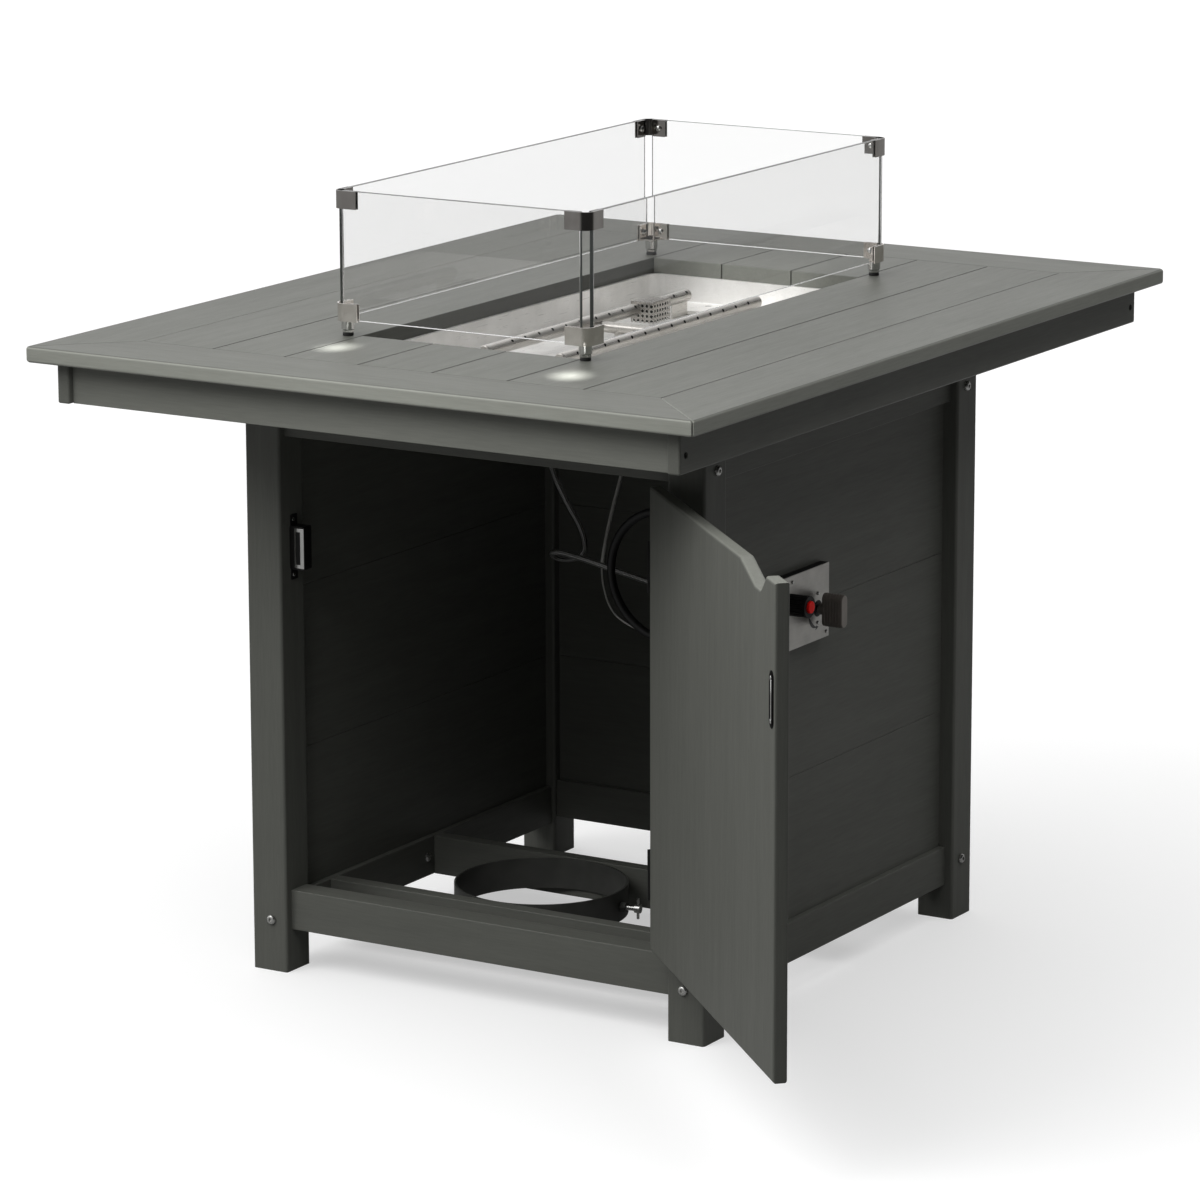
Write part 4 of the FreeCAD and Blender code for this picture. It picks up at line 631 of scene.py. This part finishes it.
def glass_material(name, axis):
    """Clear glass for panes whose thickness lies along the axis; rays of light pass it straight."""
    material, tree, shader, _ = new_material(name, (0.985, 0.985, 0.985), 0.0)
    shader.inputs["Transmission Weight"].default_value = 1.0
    shader.inputs["IOR"].default_value = 1.5
    facing = split(tree, tree.nodes.new("ShaderNodeNewGeometry").outputs["True Normal"])
    flat = math_node(tree, "ABSOLUTE", facing[axis])
    level_edge = math_node(tree, "ABSOLUTE", facing["Z"])
    along_face = math_node(tree, "GREATER_THAN", flat, 0.5)
    tint = mix_color(tree, along_face, ramp(tree, level_edge, EDGE_SIDE, EDGE_TOP, 0.45, 0.55),
                     (0.970, 0.970, 0.968, 1))
    tree.links.new(tint, shader.inputs["Base Color"])
    on_edge = math_node(tree, "SUBTRACT", 1.0, along_face)
    tree.links.new(math_node(tree, "MULTIPLY", on_edge, EDGE_ROUGH), shader.inputs["Roughness"])
    passing = tree.nodes.new("ShaderNodeBsdfTransparent")
    passing.inputs["Color"].default_value = (0.96, 0.96, 0.96, 1)
    choice = tree.nodes.new("ShaderNodeMixShader")
    mirrored = math_node(tree, "SUBTRACT", rays(tree, "Is Glossy Ray"), rays(tree, "Is Transmission Ray"))
    straight = math_node(tree, "MAXIMUM", rays(tree, "Is Shadow Ray", "Is Diffuse Ray"), mirrored)
    tree.links.new(straight, choice.inputs[0])
    tree.links.new(shader.outputs[0], choice.inputs[1])
    tree.links.new(passing.outputs[0], choice.inputs[2])
    tree.links.new(choice.outputs[0], tree.nodes["Material Output"].inputs["Surface"])
    return material


glass_facing_x = glass_material("glass_facing_x", "X")
glass_facing_y = glass_material("glass_facing_y", "Y")
print("materials:", len(bpy.data.materials))

# %% [markdown]
# ## Giving the frame its finishes
# A node of the frame keeps its shape and only gets a better material in its slots. The hoses and leads are
# curves without slots, so their material is appended.

# %% Assign materials to the nodes
finished = set()


def finish_nodes(material, *names):
    """Puts one material into every slot of the named nodes."""
    for name in names:
        finished.add(name)
        for holder in nodes[name].material_slots:
            holder.material = material


finish_nodes(border_along_x, "border_board_control_side", "border_board_far_side")
finish_nodes(deck_along_x, "deck_boards_control_side", "deck_boards_far_side", "deck_boards_door_end",
             "deck_boards_rear_end")
finish_nodes(border_along_y, "border_board_door_side", "border_board_rear_side")
finish_nodes(apron_painted_lit_along_y, "apron_door_side", "apron_rear_side")
finish_nodes(board_door, "door")
finish_nodes(board_along_x, "apron_control_side", "apron_far_side", "bottom_rail_control_side",
             "top_rail_control_side", "bottom_rail_far_side", "top_rail_far_side", "panel_control_side",
             "panel_far_side")
finish_nodes(board_along_y, "cross_battens", "bottom_rail_door_side", "top_rail_door_side",
             "bottom_rail_rear_side", "top_rail_rear_side", "panel_rear_side", "tank_rail_door_side",
             "tank_rail_rear_side")
finish_nodes(board_along_z, "leg_door_control", "leg_door_far", "leg_rear_control", "leg_rear_far")
finish_nodes(dark_coat, "tank_ring")
finish_nodes(fastener, "screws_and_bolts")
finish_nodes(zinc, "ring_clamp_screw", "valve_stem")
finish_nodes(black_coat, "hinge_halves_leg", "hinge_halves_door")
finish_nodes(near_black, "strike_plate")
finish_nodes(black_plastic, "magnetic_catch", "control_housing", "igniter_body", "tank_coupling_nut")
finish_nodes(stainless_plate, "control_plate")
finish_nodes(brass, "gas_valve")
finish_nodes(grey_plastic, "control_knob")
finish_nodes(red_plastic, "igniter_button")
finish_nodes(grey_paint, "pressure_regulator")
finish_nodes(stainless, "burner_pan")
finish_nodes(burner_steel, "burner", "pilot_cover")
finish_nodes(glass_facing_y, "glass_pane_control_side", "glass_pane_far_side")
finish_nodes(glass_facing_x, "glass_pane_door_side", "glass_pane_rear_side")
finish_nodes(clip_steel, "guard_corner_clips")
finish_nodes(foot_rubber, "guard_feet")
for line, material in ((hose, hose_rubber), (flex, braid), (sleeve, white_sleeve), (wire, white_sleeve)):
    line.data.materials.append(material)
print(len(finished), "of", len(nodes), "nodes finished; left to the lines:", sorted(set(nodes) - finished))

# %% [markdown]
# ## Small fittings
# The frame has each bolt and nut as a plain solid. Here they get the forms the eye looks for: domed heads,
# rims, crimped collars. A turned piece is a profile, given as radius and height, spun round its axis.

# %% Helpers for turned and hexagonal pieces
UP, DOWN = (0, 0, 1), (0, 0, -1)
TO_FAR_SIDE, TO_CONTROL_SIDE = (0, 1, 0), (0, -1, 0)
SMOOTH_BELOW = math.radians(40)


def mesh_from(bm, name):
    """The mesh of a finished bmesh, which is freed."""
    mesh = bpy.data.meshes.new(name)
    bm.to_mesh(mesh)
    bm.free()
    return mesh


def place_piece(name, mesh, start_mm, way, material, body):
    """A mesh built upright at the origin, stood at its place so that it points along way."""
    piece = add_object(name, mesh)
    piece.matrix_world = (Matrix.Translation(Vector(start_mm) / 1000)
                          @ Vector(way).to_track_quat("Z", "Y").to_matrix().to_4x4())
    mesh.materials.append(material)
    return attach(piece, body)


def join_rings(bm, first, second):
    """A band of four-sided faces between two rings with the same number of points."""
    for i in range(len(first)):
        j = (i + 1) % len(first)
        bm.faces.new((first[i], first[j], second[j], second[i]))


def turned_piece(name, profile_mm, start_mm, way, material, body="table_frame", sides=32, smooth=True,
                 hollow=False):
    """A solid of revolution from its profile of (radius, height) points: closed on the axis, or a ring."""
    bm = bmesh.new()
    rings = []
    for radius, height in profile_mm:
        rings.append([bm.verts.new((radius / 1000 * math.cos(2 * math.pi * i / sides),
                                    radius / 1000 * math.sin(2 * math.pi * i / sides), height / 1000))
                      for i in range(sides)])
    for low, high in zip(rings, rings[1:]):
        join_rings(bm, low, high)
    if hollow:
        join_rings(bm, rings[-1], rings[0])
    else:
        bm.faces.new(rings[0][::-1])
        bm.faces.new(rings[-1])
    for face in bm.faces:
        face.smooth = smooth and len(face.verts) == 4
    piece = place_piece(name, mesh_from(bm, name), start_mm, way, material, body)
    if smooth:
        with bpy.context.temp_override(object=piece, active_object=piece, selected_editable_objects=[piece]):
            bpy.ops.object.shade_smooth_by_angle(angle=SMOOTH_BELOW)
    return piece


def hex_nut(name, across_mm, tall_mm, start_mm, way, material, body="table_frame"):
    """A hexagonal nut with its corners turned off at both ends."""
    corner = across_mm / math.sqrt(3)
    flat = across_mm / 2
    profile = [(flat * 0.96, 0), (corner, corner - flat), (corner, tall_mm - corner + flat),
               (flat * 0.96, tall_mm)]
    return turned_piece(name, profile, start_mm, way, material, body, sides=6, smooth=False)


def dome(radius, tall, steps=5):
    """The profile of a domed head: its rim, then a quarter ellipse up to the middle."""
    points = [(radius, 0), (radius, tall * 0.25)]
    for i in range(1, steps + 1):
        angle = math.pi / 2 * i / (steps + 0.4)
        points.append((radius * math.cos(angle), tall * (0.25 + 0.75 * math.sin(angle))))
    return points


# %% [markdown]
# ### Ends of the hose and of the flex line
# A gas line ends in a crimped collar and a nut. The collar is a short tube pressed on in two grooves, so its
# profile dips twice. The flex line is thinner and takes the same profile at a smaller radius.

# %% Fittings at the ends of the hose and of the flex line
COLLAR = [(7.0, 0), (7.9, 0.6), (7.9, 3.2), (7.2, 4), (7.9, 4.8), (7.9, 8.2), (7.2, 9), (7.9, 9.8), (7.9, 19),
          (7.2, 20)]
THIN_COLLAR = [(radius * 0.7, height) for radius, height in COLLAR]
hex_nut("hose_nut", 17, 9, (-56, -300, 545), TO_FAR_SIDE, zinc)
turned_piece("hose_collar_valve_end", COLLAR, (-56, -291, 545), TO_FAR_SIDE, zinc)
turned_piece("hose_collar_regulator_end", COLLAR, (-116, -252, 446), DOWN, zinc)
hex_nut("hose_nut_regulator_end", 19, 10, (-116, -252, 426), DOWN, brass)
hex_nut("flex_nut_valve_end", 14, 12, (-74, -303, 528), TO_FAR_SIDE, brass)
turned_piece("flex_collar_valve_end", THIN_COLLAR, (-74, -291, 528), TO_FAR_SIDE, zinc)
hex_nut("flex_nut_burner_end", 17, 13, (40, 24, 838.5), DOWN, brass)
turned_piece("flex_collar_burner_end", THIN_COLLAR, (40, 24, 826), DOWN, zinc)

# %% [markdown]
# ### Feet and screws of the glass guard
# The guard stands on four feet, one inside each corner: a rubber pad, a locknut and a steel standoff, stacked
# upright. Above them, clamp plates hold the panes with domed screws. All of it repeats at every corner, so a
# corner is a place and two signs, and the same lines serve all four.

# %% Feet of the guard: rubber pad, locknut and standoff
TABLE_TOP_Z = 914
GUARD_MIDDLE, GUARD_HALF = (12, 3.7), (410.8, 201.5)
FOOT_INSET = 14
FOOT_PAD = [(6.9, 0), (7.5, 0.6), (7.5, 3.2), (6.9, 3.8)]
FOOT_STANDOFF = [(8.2, 0), (9, 0.6), (9, 11.6), (8.4, 12.2)]
guard_corners = [(GUARD_MIDDLE[0] + sx * GUARD_HALF[0], GUARD_MIDDLE[1] + sy * GUARD_HALF[1], sx, sy)
                 for sx in (-1, 1) for sy in (-1, 1)]
for number, (x, y, sx, sy) in enumerate(guard_corners, start=1):
    foot_x, foot_y = x - sx * FOOT_INSET, y - sy * FOOT_INSET
    pad = turned_piece(f"guard_foot_pad_{number}", FOOT_PAD, (foot_x, foot_y, TABLE_TOP_Z), UP, foot_rubber,
                       "glass_guard")
    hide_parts("guard_feet")
    hex_nut(f"guard_foot_nut_{number}", 13.5, 5, (foot_x, foot_y, 917.8), UP, bright_steel, "glass_guard")
    turned_piece(f"guard_foot_standoff_{number}", FOOT_STANDOFF, (foot_x, foot_y, 922.8), UP, bright_steel,
                 "glass_guard")
print("guard corners at", [(round(x, 1), round(y, 1)) for x, y, _, _ in guard_corners])

# %% Domed screws on the clamp plates inside the guard
FROM_CORNER, OFF_GLASS = 26.85, 9
for number, (x, y, sx, sy) in enumerate(guard_corners, start=1):
    for level_name, z in (("low", 948.2), ("high", 1100.2)):
        turned_piece(f"clip_screw_{level_name}_{number}_x", dome(4.6, 3.4),
                     (x - sx * FROM_CORNER, y - sy * OFF_GLASS, z), (0, -sy, 0), bright_steel, "glass_guard",
                     sides=24)
        turned_piece(f"clip_screw_{level_name}_{number}_y", dome(4.6, 3.4),
                     (x - sx * OFF_GLASS, y - sy * FROM_CORNER, z), (-sx, 0, 0), bright_steel, "glass_guard",
                     sides=24)

# %% [markdown]
# ### Pilot cover
# A little box of perforated sheet shields the spark and its flame. It is folded from one sheet and open below
# and towards the far tube, so a sheet of no thickness is drawn first, its folds are rounded with a bevel, and
# a modifier gives it its thickness. A second, near-black box of the same kind inside it is painted shade,
# which makes the holes look dark.

# %% The pilot cover and the near-black box of painted shade inside it
def sheet_box(name, low, high, thick, material, body):
    """A top and three walls of thin sheet, open below and on the far side, with rounded folds."""
    bm = bmesh.new()
    (x0, y0, z0), (x1, y1, z1) = [[part / 1000 for part in corner] for corner in (low, high)]
    outline = [(x0, y1), (x0, y0), (x1, y0), (x1, y1)]
    rows = [[bm.verts.new((x, y, z)) for x, y in outline] for z in (z0, z1)]
    for i in range(3):
        bm.faces.new((rows[0][i], rows[0][i + 1], rows[1][i + 1], rows[1][i]))
    bm.faces.new(rows[1])
    bmesh.ops.bevel(bm, geom=[edge for edge in bm.edges if len(edge.link_faces) == 2], offset=0.001,
                    segments=2, affect="EDGES")
    piece = add_object(name, mesh_from(bm, name))
    piece.data.materials.append(material)
    shell = piece.modifiers.new("sheet", "SOLIDIFY")
    shell.thickness = thick / 1000
    shell.offset = -1
    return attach(piece, body)


cover = sheet_box("perforated_cover", (141.2, 29.7, 865), (191.5, 66, 895), 0.8, perforated, "table_frame")
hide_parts("pilot_cover")
# Painted shade: a near-black box inside the cover darkens what shows through the holes.
sheet_box("pilot_cover_shade_box", (144, 32.5, 866), (188.5, 64, 892), 0.8, near_black, "table_frame")
print("cover", [round(1000 * part, 1) for part in cover.dimensions], "mm")

# %% [markdown]
# ### Ports of the burner
# Gas leaves the two long tubes through a row of small holes with a countersunk rim. Cutting them would need
# many edges for something this small, so each is a shallow black dish that lies on the tube's outside, and
# all of them are one mesh; the black is painted shade for the dark inside of the holes. Both rows lean
# towards the control side.

# %% The burner's ports, black dishes of painted shade where the gas comes out
PORTS, PORT_STEP, PORT_SIDES = 14, 0.0357, 12
TUBE_END_X, TUBE_OFF_MIDDLE, TUBE_Z = 0.288, 0.060, 0.8826
PORT_PROFILE = ((0.0025, 0.0088), (0.0022, 0.0093), (0.0016, 0.0091))
bm = bmesh.new()
for side, lean, first in ((-1, 60, 39), (1, 47, 12)):
    lean = math.radians(lean)
    out = Vector((0, -math.sin(lean), math.cos(lean)))
    beside = Vector((0, math.cos(lean), math.sin(lean)))
    for i in range(PORTS):
        centre = Vector((TUBE_END_X - first / 1000 - i * PORT_STEP, side * TUBE_OFF_MIDDLE, TUBE_Z))
        rings = []
        for radius, lift in PORT_PROFILE:
            rings.append([bm.verts.new(centre + out * lift + (Vector((1, 0, 0)) * math.cos(around)
                                                              + beside * math.sin(around)) * radius)
                          for around in [2 * math.pi * k / PORT_SIDES for k in range(PORT_SIDES)]])
        for inner, outer in zip(rings[1:], rings):
            join_rings(bm, outer, inner)
        bm.faces.new(rings[-1])
# Painted shade: the dishes are near black where the holes are dark inside.
ports = add_object("burner_ports", mesh_from(bm, "burner_ports"))
ports.data.materials.append(near_black)
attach(ports, "table_frame")
print("ports:", 2 * PORTS)

# %% [markdown]
# ### Bolt and screw heads on the frame
# Two bolt heads show inside the cabinet on the far rail, and three screws on the leg's leaf of each hinge.
# All are domes turned from a short profile. The screws of a leaf are set in a slight zigzag, as on most butt
# hinges.

# %% Heads of the rail bolts and of the leaf screws
HINGE_PIN = (-386, -306.5)
LEAF_FACE_Y = -307.95
LEAF_SCREW_X = (17, 12, 17)
for number, (x, z) in enumerate(((-14, 79), (27, 90)), start=1):
    turned_piece(f"rail_bolt_{number}", dome(7, 4), (x, 314, z), TO_CONTROL_SIDE, zinc)
for low_z in (198, 617):
    for number, leaf_x in enumerate(LEAF_SCREW_X):
        turned_piece(f"leaf_screw_leg_{low_z}_{number}", dome(3.4, 0.9),
                     (HINGE_PIN[0] + leaf_x, LEAF_FACE_Y, low_z + 14 + 21 * number), TO_FAR_SIDE, black_coat,
                     sides=20)

# %% [markdown]
# ### Strike plate on the door
# The catch holds the door by a small steel plate on its inside: a flat seat with round ends, a raised rib and
# two screws. The door stands open at an angle, so a helper turns distances along the door and off it into
# places, and the pieces can be measured on the door as if it were shut.

# %% Helpers for flat pieces, and for places on the open door
DOOR_ANGLE = math.radians(135.4 + 90)
along_door = Vector((math.cos(DOOR_ANGLE), math.sin(DOOR_ANGLE), 0))
off_door = Vector((math.sin(DOOR_ANGLE), -math.cos(DOOR_ANGLE), 0))


def on_door(along_mm, off_mm, z_mm):
    """A point of the open door, from its distance to the pin along the door and off it."""
    return tuple(Vector((*HINGE_PIN, z_mm)) + along_door * along_mm + off_door * off_mm)


def flat_piece(name, outline_mm, thick_mm, place, material, body, hole=None):
    """A flat plate with a small bevel: its outline in two directions, and a function that places the points.

    With a hole, which is a share of the outline's size, it is a ring and stays open in the middle.
    """
    bm = bmesh.new()
    levels = [(0.0, 0.985), (thick_mm * 0.2, 1.0), (thick_mm * 0.7, 1.0), (thick_mm, 0.965)]
    if hole:
        levels += [(thick_mm, hole), (0.0, hole)]
    centre = [sum(point[i] for point in outline_mm) / len(outline_mm) for i in (0, 1)]
    rings = []
    for lift, scale in levels:
        ring = []
        for a, b in outline_mm:
            ring.append(bm.verts.new(Vector(place(centre[0] + (a - centre[0]) * scale,
                                                  centre[1] + (b - centre[1]) * scale, lift)) / 1000))
        rings.append(ring)
    for low, high in zip(rings, rings[1:] + rings[:1] if hole else rings[1:]):
        join_rings(bm, low, high)
    if not hole:
        bm.faces.new(rings[0][::-1])
        bm.faces.new(rings[-1])
    bmesh.ops.recalc_face_normals(bm, faces=bm.faces)
    piece = add_object(name, mesh_from(bm, name))
    piece.data.materials.append(material)
    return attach(piece, body)


def stadium(wide, tall, middle, steps=8):
    """The outline of a plate with two round ends."""
    points = []
    for end in (1, -1):
        for i in range(steps + 1):
            around = math.pi * i / steps + (0 if end > 0 else math.pi)
            points.append((middle[0] + wide / 2 * math.cos(around),
                           middle[1] + end * (tall - wide) / 2 + wide / 2 * math.sin(around)))
    return points


# %% The strike plate's seat, rib and screws
flat_piece("strike_seat", stadium(19.5, 73, (587.3, 612.5)), 0.5,
           lambda a, b, lift: on_door(a, 22 + lift, b), near_black, "door")
turned_piece("strike_rib", [(1.1, 0), (1.5, 0.5), (1.5, 49.5), (1.1, 50)], on_door(588.8, 22.6, 587.5), UP,
             bright_steel, "door", sides=24)
for number, z in enumerate((585.5, 639.5), start=1):
    turned_piece(f"strike_screw_{number}", dome(3.3, 1.0), on_door(587, 23.5, z), tuple(off_door),
                 bright_steel, "door", sides=24)
print("strike plate at", [round(part, 1) for part in on_door(587.3, 22, 612.5)], "mm")

# %% [markdown]
# ### Magnetic catch
# The catch on the leg shows two bright steel poles with the dark magnet in the slit between them. The poles
# stand a quarter of a millimetre proud, which is enough for their edges to catch the light, and short bars
# close the slit at both ends.

# %% Steel front of the magnetic catch
CATCH_FRONT_X = -362.2
CATCH_LOW, CATCH_HIGH, POLE_END = 576, 632, 5
SLIT_NEAR, SLIT_FAR = 290.4, 297.6
CATCH_POLES = {"near": (284.6, SLIT_NEAR, CATCH_LOW, CATCH_HIGH),
               "far": (SLIT_FAR, 300, CATCH_LOW, CATCH_HIGH),
               "top": (SLIT_NEAR, SLIT_FAR, CATCH_HIGH - POLE_END, CATCH_HIGH),
               "foot": (SLIT_NEAR, SLIT_FAR, CATCH_LOW, CATCH_LOW + POLE_END)}


def on_catch(y, z, lift):
    """A point on the front of the catch, lifted towards the door."""
    return (CATCH_FRONT_X - lift, y, z)


for name, (y_low, y_high, z_low, z_high) in CATCH_POLES.items():
    flat_piece(f"catch_pole_{name}", [(y_low, z_low), (y_high, z_low), (y_high, z_high), (y_low, z_high)],
               0.25, on_catch, bright_steel, "table_frame")
for number, z in enumerate((565.5, 642.5), start=1):
    turned_piece(f"catch_screw_{number}", dome(3.2, 1.2), (-355, 306, z), TO_CONTROL_SIDE, bright_steel,
                 sides=24)
print("catch poles:", list(CATCH_POLES))

# %% [markdown]
# ### Control knob, its washer and the turning arrow
# The knob is a bar to hold between two fingers, with ribs round it and a paler face. Each rib is a thin ring
# with round ends, since a solid plate would cut through the stem. The washer covers the stem's opening, and
# the arrow is a flat mesh just off the plate, because printed ink has no thickness to model.

# %% A washer round the valve stem in the control plate
VALVE_X, VALVE_Z = -60, 536
turned_piece("stem_washer", [(4.6, 0), (11.5, 0), (11.5, 0.25), (4.6, 0.4)], (VALVE_X, -355.0, VALVE_Z),
             TO_CONTROL_SIDE, black_plastic, hollow=True)

# %% The knob's grip: raised ribs round it, and a paler face
RIBS, FIRST_RIB_Y, RIB_STEP = 6, -368.2, 4.4


def on_knob(start_y):
    """Places a flat piece square to the knob's axis, growing towards the user."""
    return lambda a, b, lift: (a, start_y - lift, b)


for number in range(RIBS):
    flat_piece(f"knob_rib_{number + 1}", stadium(18.0, 47.0, (VALVE_X, VALVE_Z), 12), 2.2,
               on_knob(FIRST_RIB_Y - RIB_STEP * number), grey_plastic, "control_knob", hole=0.8)
flat_piece("knob_face", stadium(15.4, 44.4, (VALVE_X, VALVE_Z), 12), 0.6, on_knob(-396.0), pale_plastic,
           "control_knob")
print("knob ribs:", RIBS)

# %% The turning arrow on the control plate
ARC_FROM, ARC_SPAN, ARC_STEPS = 200, 60, 16
HEAD_POINTS = ((23.4, 258), (30.2, 258), (26, 274))


def round_point(radius_mm, degrees):
    """A point in the arrow's own plane, at a distance from the knob's axis."""
    angle = math.radians(degrees)
    return (radius_mm / 1000 * math.cos(angle), radius_mm / 1000 * math.sin(angle), 0)


bm = bmesh.new()
inner_arc, outer_arc = [], []
for i in range(ARC_STEPS + 1):
    degrees = ARC_FROM + ARC_SPAN * i / ARC_STEPS
    swell = 2.4 * math.sin(math.pi * (i + 1) / (ARC_STEPS + 1))
    inner_arc.append(bm.verts.new(round_point(25.5 - swell, degrees)))
    outer_arc.append(bm.verts.new(round_point(26.5 + swell, degrees)))
for i in range(ARC_STEPS):
    bm.faces.new((inner_arc[i], outer_arc[i], outer_arc[i + 1], inner_arc[i + 1]))
bm.faces.new([bm.verts.new(round_point(radius, degrees)) for radius, degrees in HEAD_POINTS])
place_piece("plate_arrow", mesh_from(bm, "plate_arrow"), (VALVE_X, -355.05, VALVE_Z), TO_CONTROL_SIDE,
            black_coat, "table_frame")

# %% [markdown]
# ## Floor, background and light
# The table stands on a white floor that has no edge, so only its shadow shows. The floor is lit like the rest
# and gets a little extra light of its own, only for the eye and for mirror and glass rays, to reach white.
# What a mirror sees of it darkens towards the front, because polished steel needs something dark to show.

# %% Floor
FLOOR_HALF = 30
floor_mesh = bpy.data.meshes.new("floor")
floor_mesh.from_pydata([(-FLOOR_HALF, -FLOOR_HALF, 0), (FLOOR_HALF, -FLOOR_HALF, 0),
                        (FLOOR_HALF, FLOOR_HALF, 0), (-FLOOR_HALF, FLOOR_HALF, 0)], [], [(0, 1, 2, 3)])
floor = add_object("floor", floor_mesh)


def level(tree, mask, high, low):
    """The first level where the mask is 1 and the second where it is 0."""
    return math_node(tree, "ADD", math_node(tree, "MULTIPLY", mask, high - low), low)


SEEN_WHITE, BOUNCE_GREY, SEEN_GLOW, MIRROR_GLOW = 0.53, 0.26, 0.50, 0.05
floor_white, tree, shader, place = new_material("floor_white", (0.6, 0.6, 0.6), 0.9)
shader.inputs["Specular IOR Level"].default_value = 0.0
shader.inputs["Emission Color"].default_value = (1, 1, 1, 1)
seen = rays(tree, "Is Camera Ray", "Is Transmission Ray")
mirror = math_node(tree, "MAXIMUM", math_node(tree, "SUBTRACT", rays(tree, "Is Glossy Ray"),
                                              rays(tree, "Is Transmission Ray")), 0.0)
spot_on_floor = split(tree, place)
toward_front = math_node(tree, "ADD", math_node(tree, "MULTIPLY", spot_on_floor["X"], -0.52),
                         math_node(tree, "MULTIPLY", spot_on_floor["Y"], -0.85))
front_dark = map_range(tree, toward_front, 1.0, 3.5, 0.0, 0.9)
darker = math_node(tree, "SUBTRACT", 1.0, math_node(tree, "MULTIPLY", mirror, front_dark))
grey = tree.nodes.new("ShaderNodeCombineColor")
for title in ("Red", "Green", "Blue"):
    tree.links.new(math_node(tree, "MULTIPLY", level(tree, seen, SEEN_WHITE, BOUNCE_GREY), darker),
                   grey.inputs[title])
tree.links.new(grey.outputs[0], shader.inputs["Base Color"])
glow = math_node(tree, "ADD", level(tree, seen, SEEN_GLOW, 0.0),
                 math_node(tree, "MULTIPLY", math_node(tree, "MULTIPLY", mirror, MIRROR_GLOW), darker))
tree.links.new(glow, shader.inputs["Emission Strength"])
floor_mesh.materials.append(floor_white)
print("floor of", 2 * FLOOR_HALF, "m; its material has", len(tree.nodes), "nodes")

# %% [markdown]
# ### World
# The world is white for the eye, and lights the table only faintly. Steel mirrors a bright wall beyond the
# far side and a weaker one beyond the rear, so the strength that glossy rays find depends on their direction.

# %% World
DIM_AIR = 0.07
world = bpy.data.worlds.new("studio")
bpy.context.scene.world = world
world.use_nodes = True
sky_tree = world.node_tree
sky = sky_tree.nodes["Background"]
sky.inputs["Color"].default_value = (1, 1, 1, 1)
way = split(sky_tree, sky_tree.nodes.new("ShaderNodeTexCoord").outputs["Generated"])
side_light = map_range(sky_tree, way["Y"], -0.35, 0.3, 0.03, 0.9)
far_light = map_range(sky_tree, way["X"], 0.6, 0.95, 0.0, 0.22)
seen = rays(sky_tree, "Is Camera Ray", "Is Transmission Ray")
glossy = rays(sky_tree, "Is Glossy Ray")
mirrored = math_node(sky_tree, "MULTIPLY", glossy, math_node(sky_tree, "ADD", side_light, far_light))
unseen = math_node(sky_tree, "ADD", mirrored, level(sky_tree, glossy, 0.0, DIM_AIR))
sky_tree.links.new(math_node(sky_tree, "MAXIMUM", seen, unseen), sky.inputs["Strength"])
print("world of", len(sky_tree.nodes), "nodes")

# %% [markdown]
# ### Lamps
# One wide lamp from above gives the soft main light and the shadow on the floor, and a weaker one from the
# left fills the door's end. A soft box lifts the left end of the top. Three small spots stand for the patches
# of light on two boards of the deck and in the pan. The lamp above and the soft box hide from mirror rays, or
# they would burn out the steel.

# %% Lamps
def lamp_toward(name, data, place, target):
    """A lamp at a place, turned to its target."""
    lamp = add_object(name, data)
    lamp.location = place
    lamp.rotation_euler = (Vector(place) - Vector(target)).to_track_quat("Z", "Y").to_euler()
    return lamp


def soft_sun(name, comes_from, spread_degrees, strength):
    """A lamp as far away as the sun, so it lights the whole floor alike; a wide one casts soft shadows."""
    data = bpy.data.lights.new(name, "SUN")
    data.angle = math.radians(spread_degrees)
    data.energy = strength
    lamp = add_object(name, data)
    lamp.rotation_euler = Vector(comes_from).to_track_quat("Z", "Y").to_euler()
    return lamp


def soft_box(name, place, target, size, watts):
    """A rectangular lamp at a place, turned to its target."""
    data = bpy.data.lights.new(name, "AREA")
    data.shape = "RECTANGLE"
    data.size, data.size_y = size
    data.energy = watts
    return lamp_toward(name, data, place, target)


def spot(name, place, target, degrees, watts):
    """A spot lamp with a soft rim, for a patch of light."""
    data = bpy.data.lights.new(name, "SPOT")
    data.spot_size = math.radians(degrees)
    data.spot_blend = 0.9
    data.shadow_soft_size = 0.02
    data.energy = watts
    return lamp_toward(name, data, place, target)


overhead = soft_sun("overhead", (-0.10, 0.14, 1.0), spread_degrees=105, strength=2.85)
overhead.visible_glossy = False
left_fill = soft_sun("left_fill", (-1.0, 0.55, 0.95), spread_degrees=30, strength=0.57)
left_box = soft_box("left_box", (-1.35, -0.02, 1.60), (-0.66, -0.10, 0.86), size=(0.35, 0.9), watts=7)
left_box.visible_glossy = False
patches = [spot("deck_glint_left", (-0.68, 0.125, 1.16), (-0.470, 0.152, 0.914), degrees=8, watts=46),
           spot("deck_glint_front", (-0.70, -0.31, 1.16), (-0.489, -0.224, 0.914), degrees=8, watts=62),
           spot("pan_spot", (-0.15, 0.0, 1.35), (0.41, 0.0, 0.872), degrees=22, watts=14)]
bpy.context.scene.view_settings.view_transform = "Standard"
print("lamps:", [lamp.name for lamp in (overhead, left_fill, left_box, *patches)])
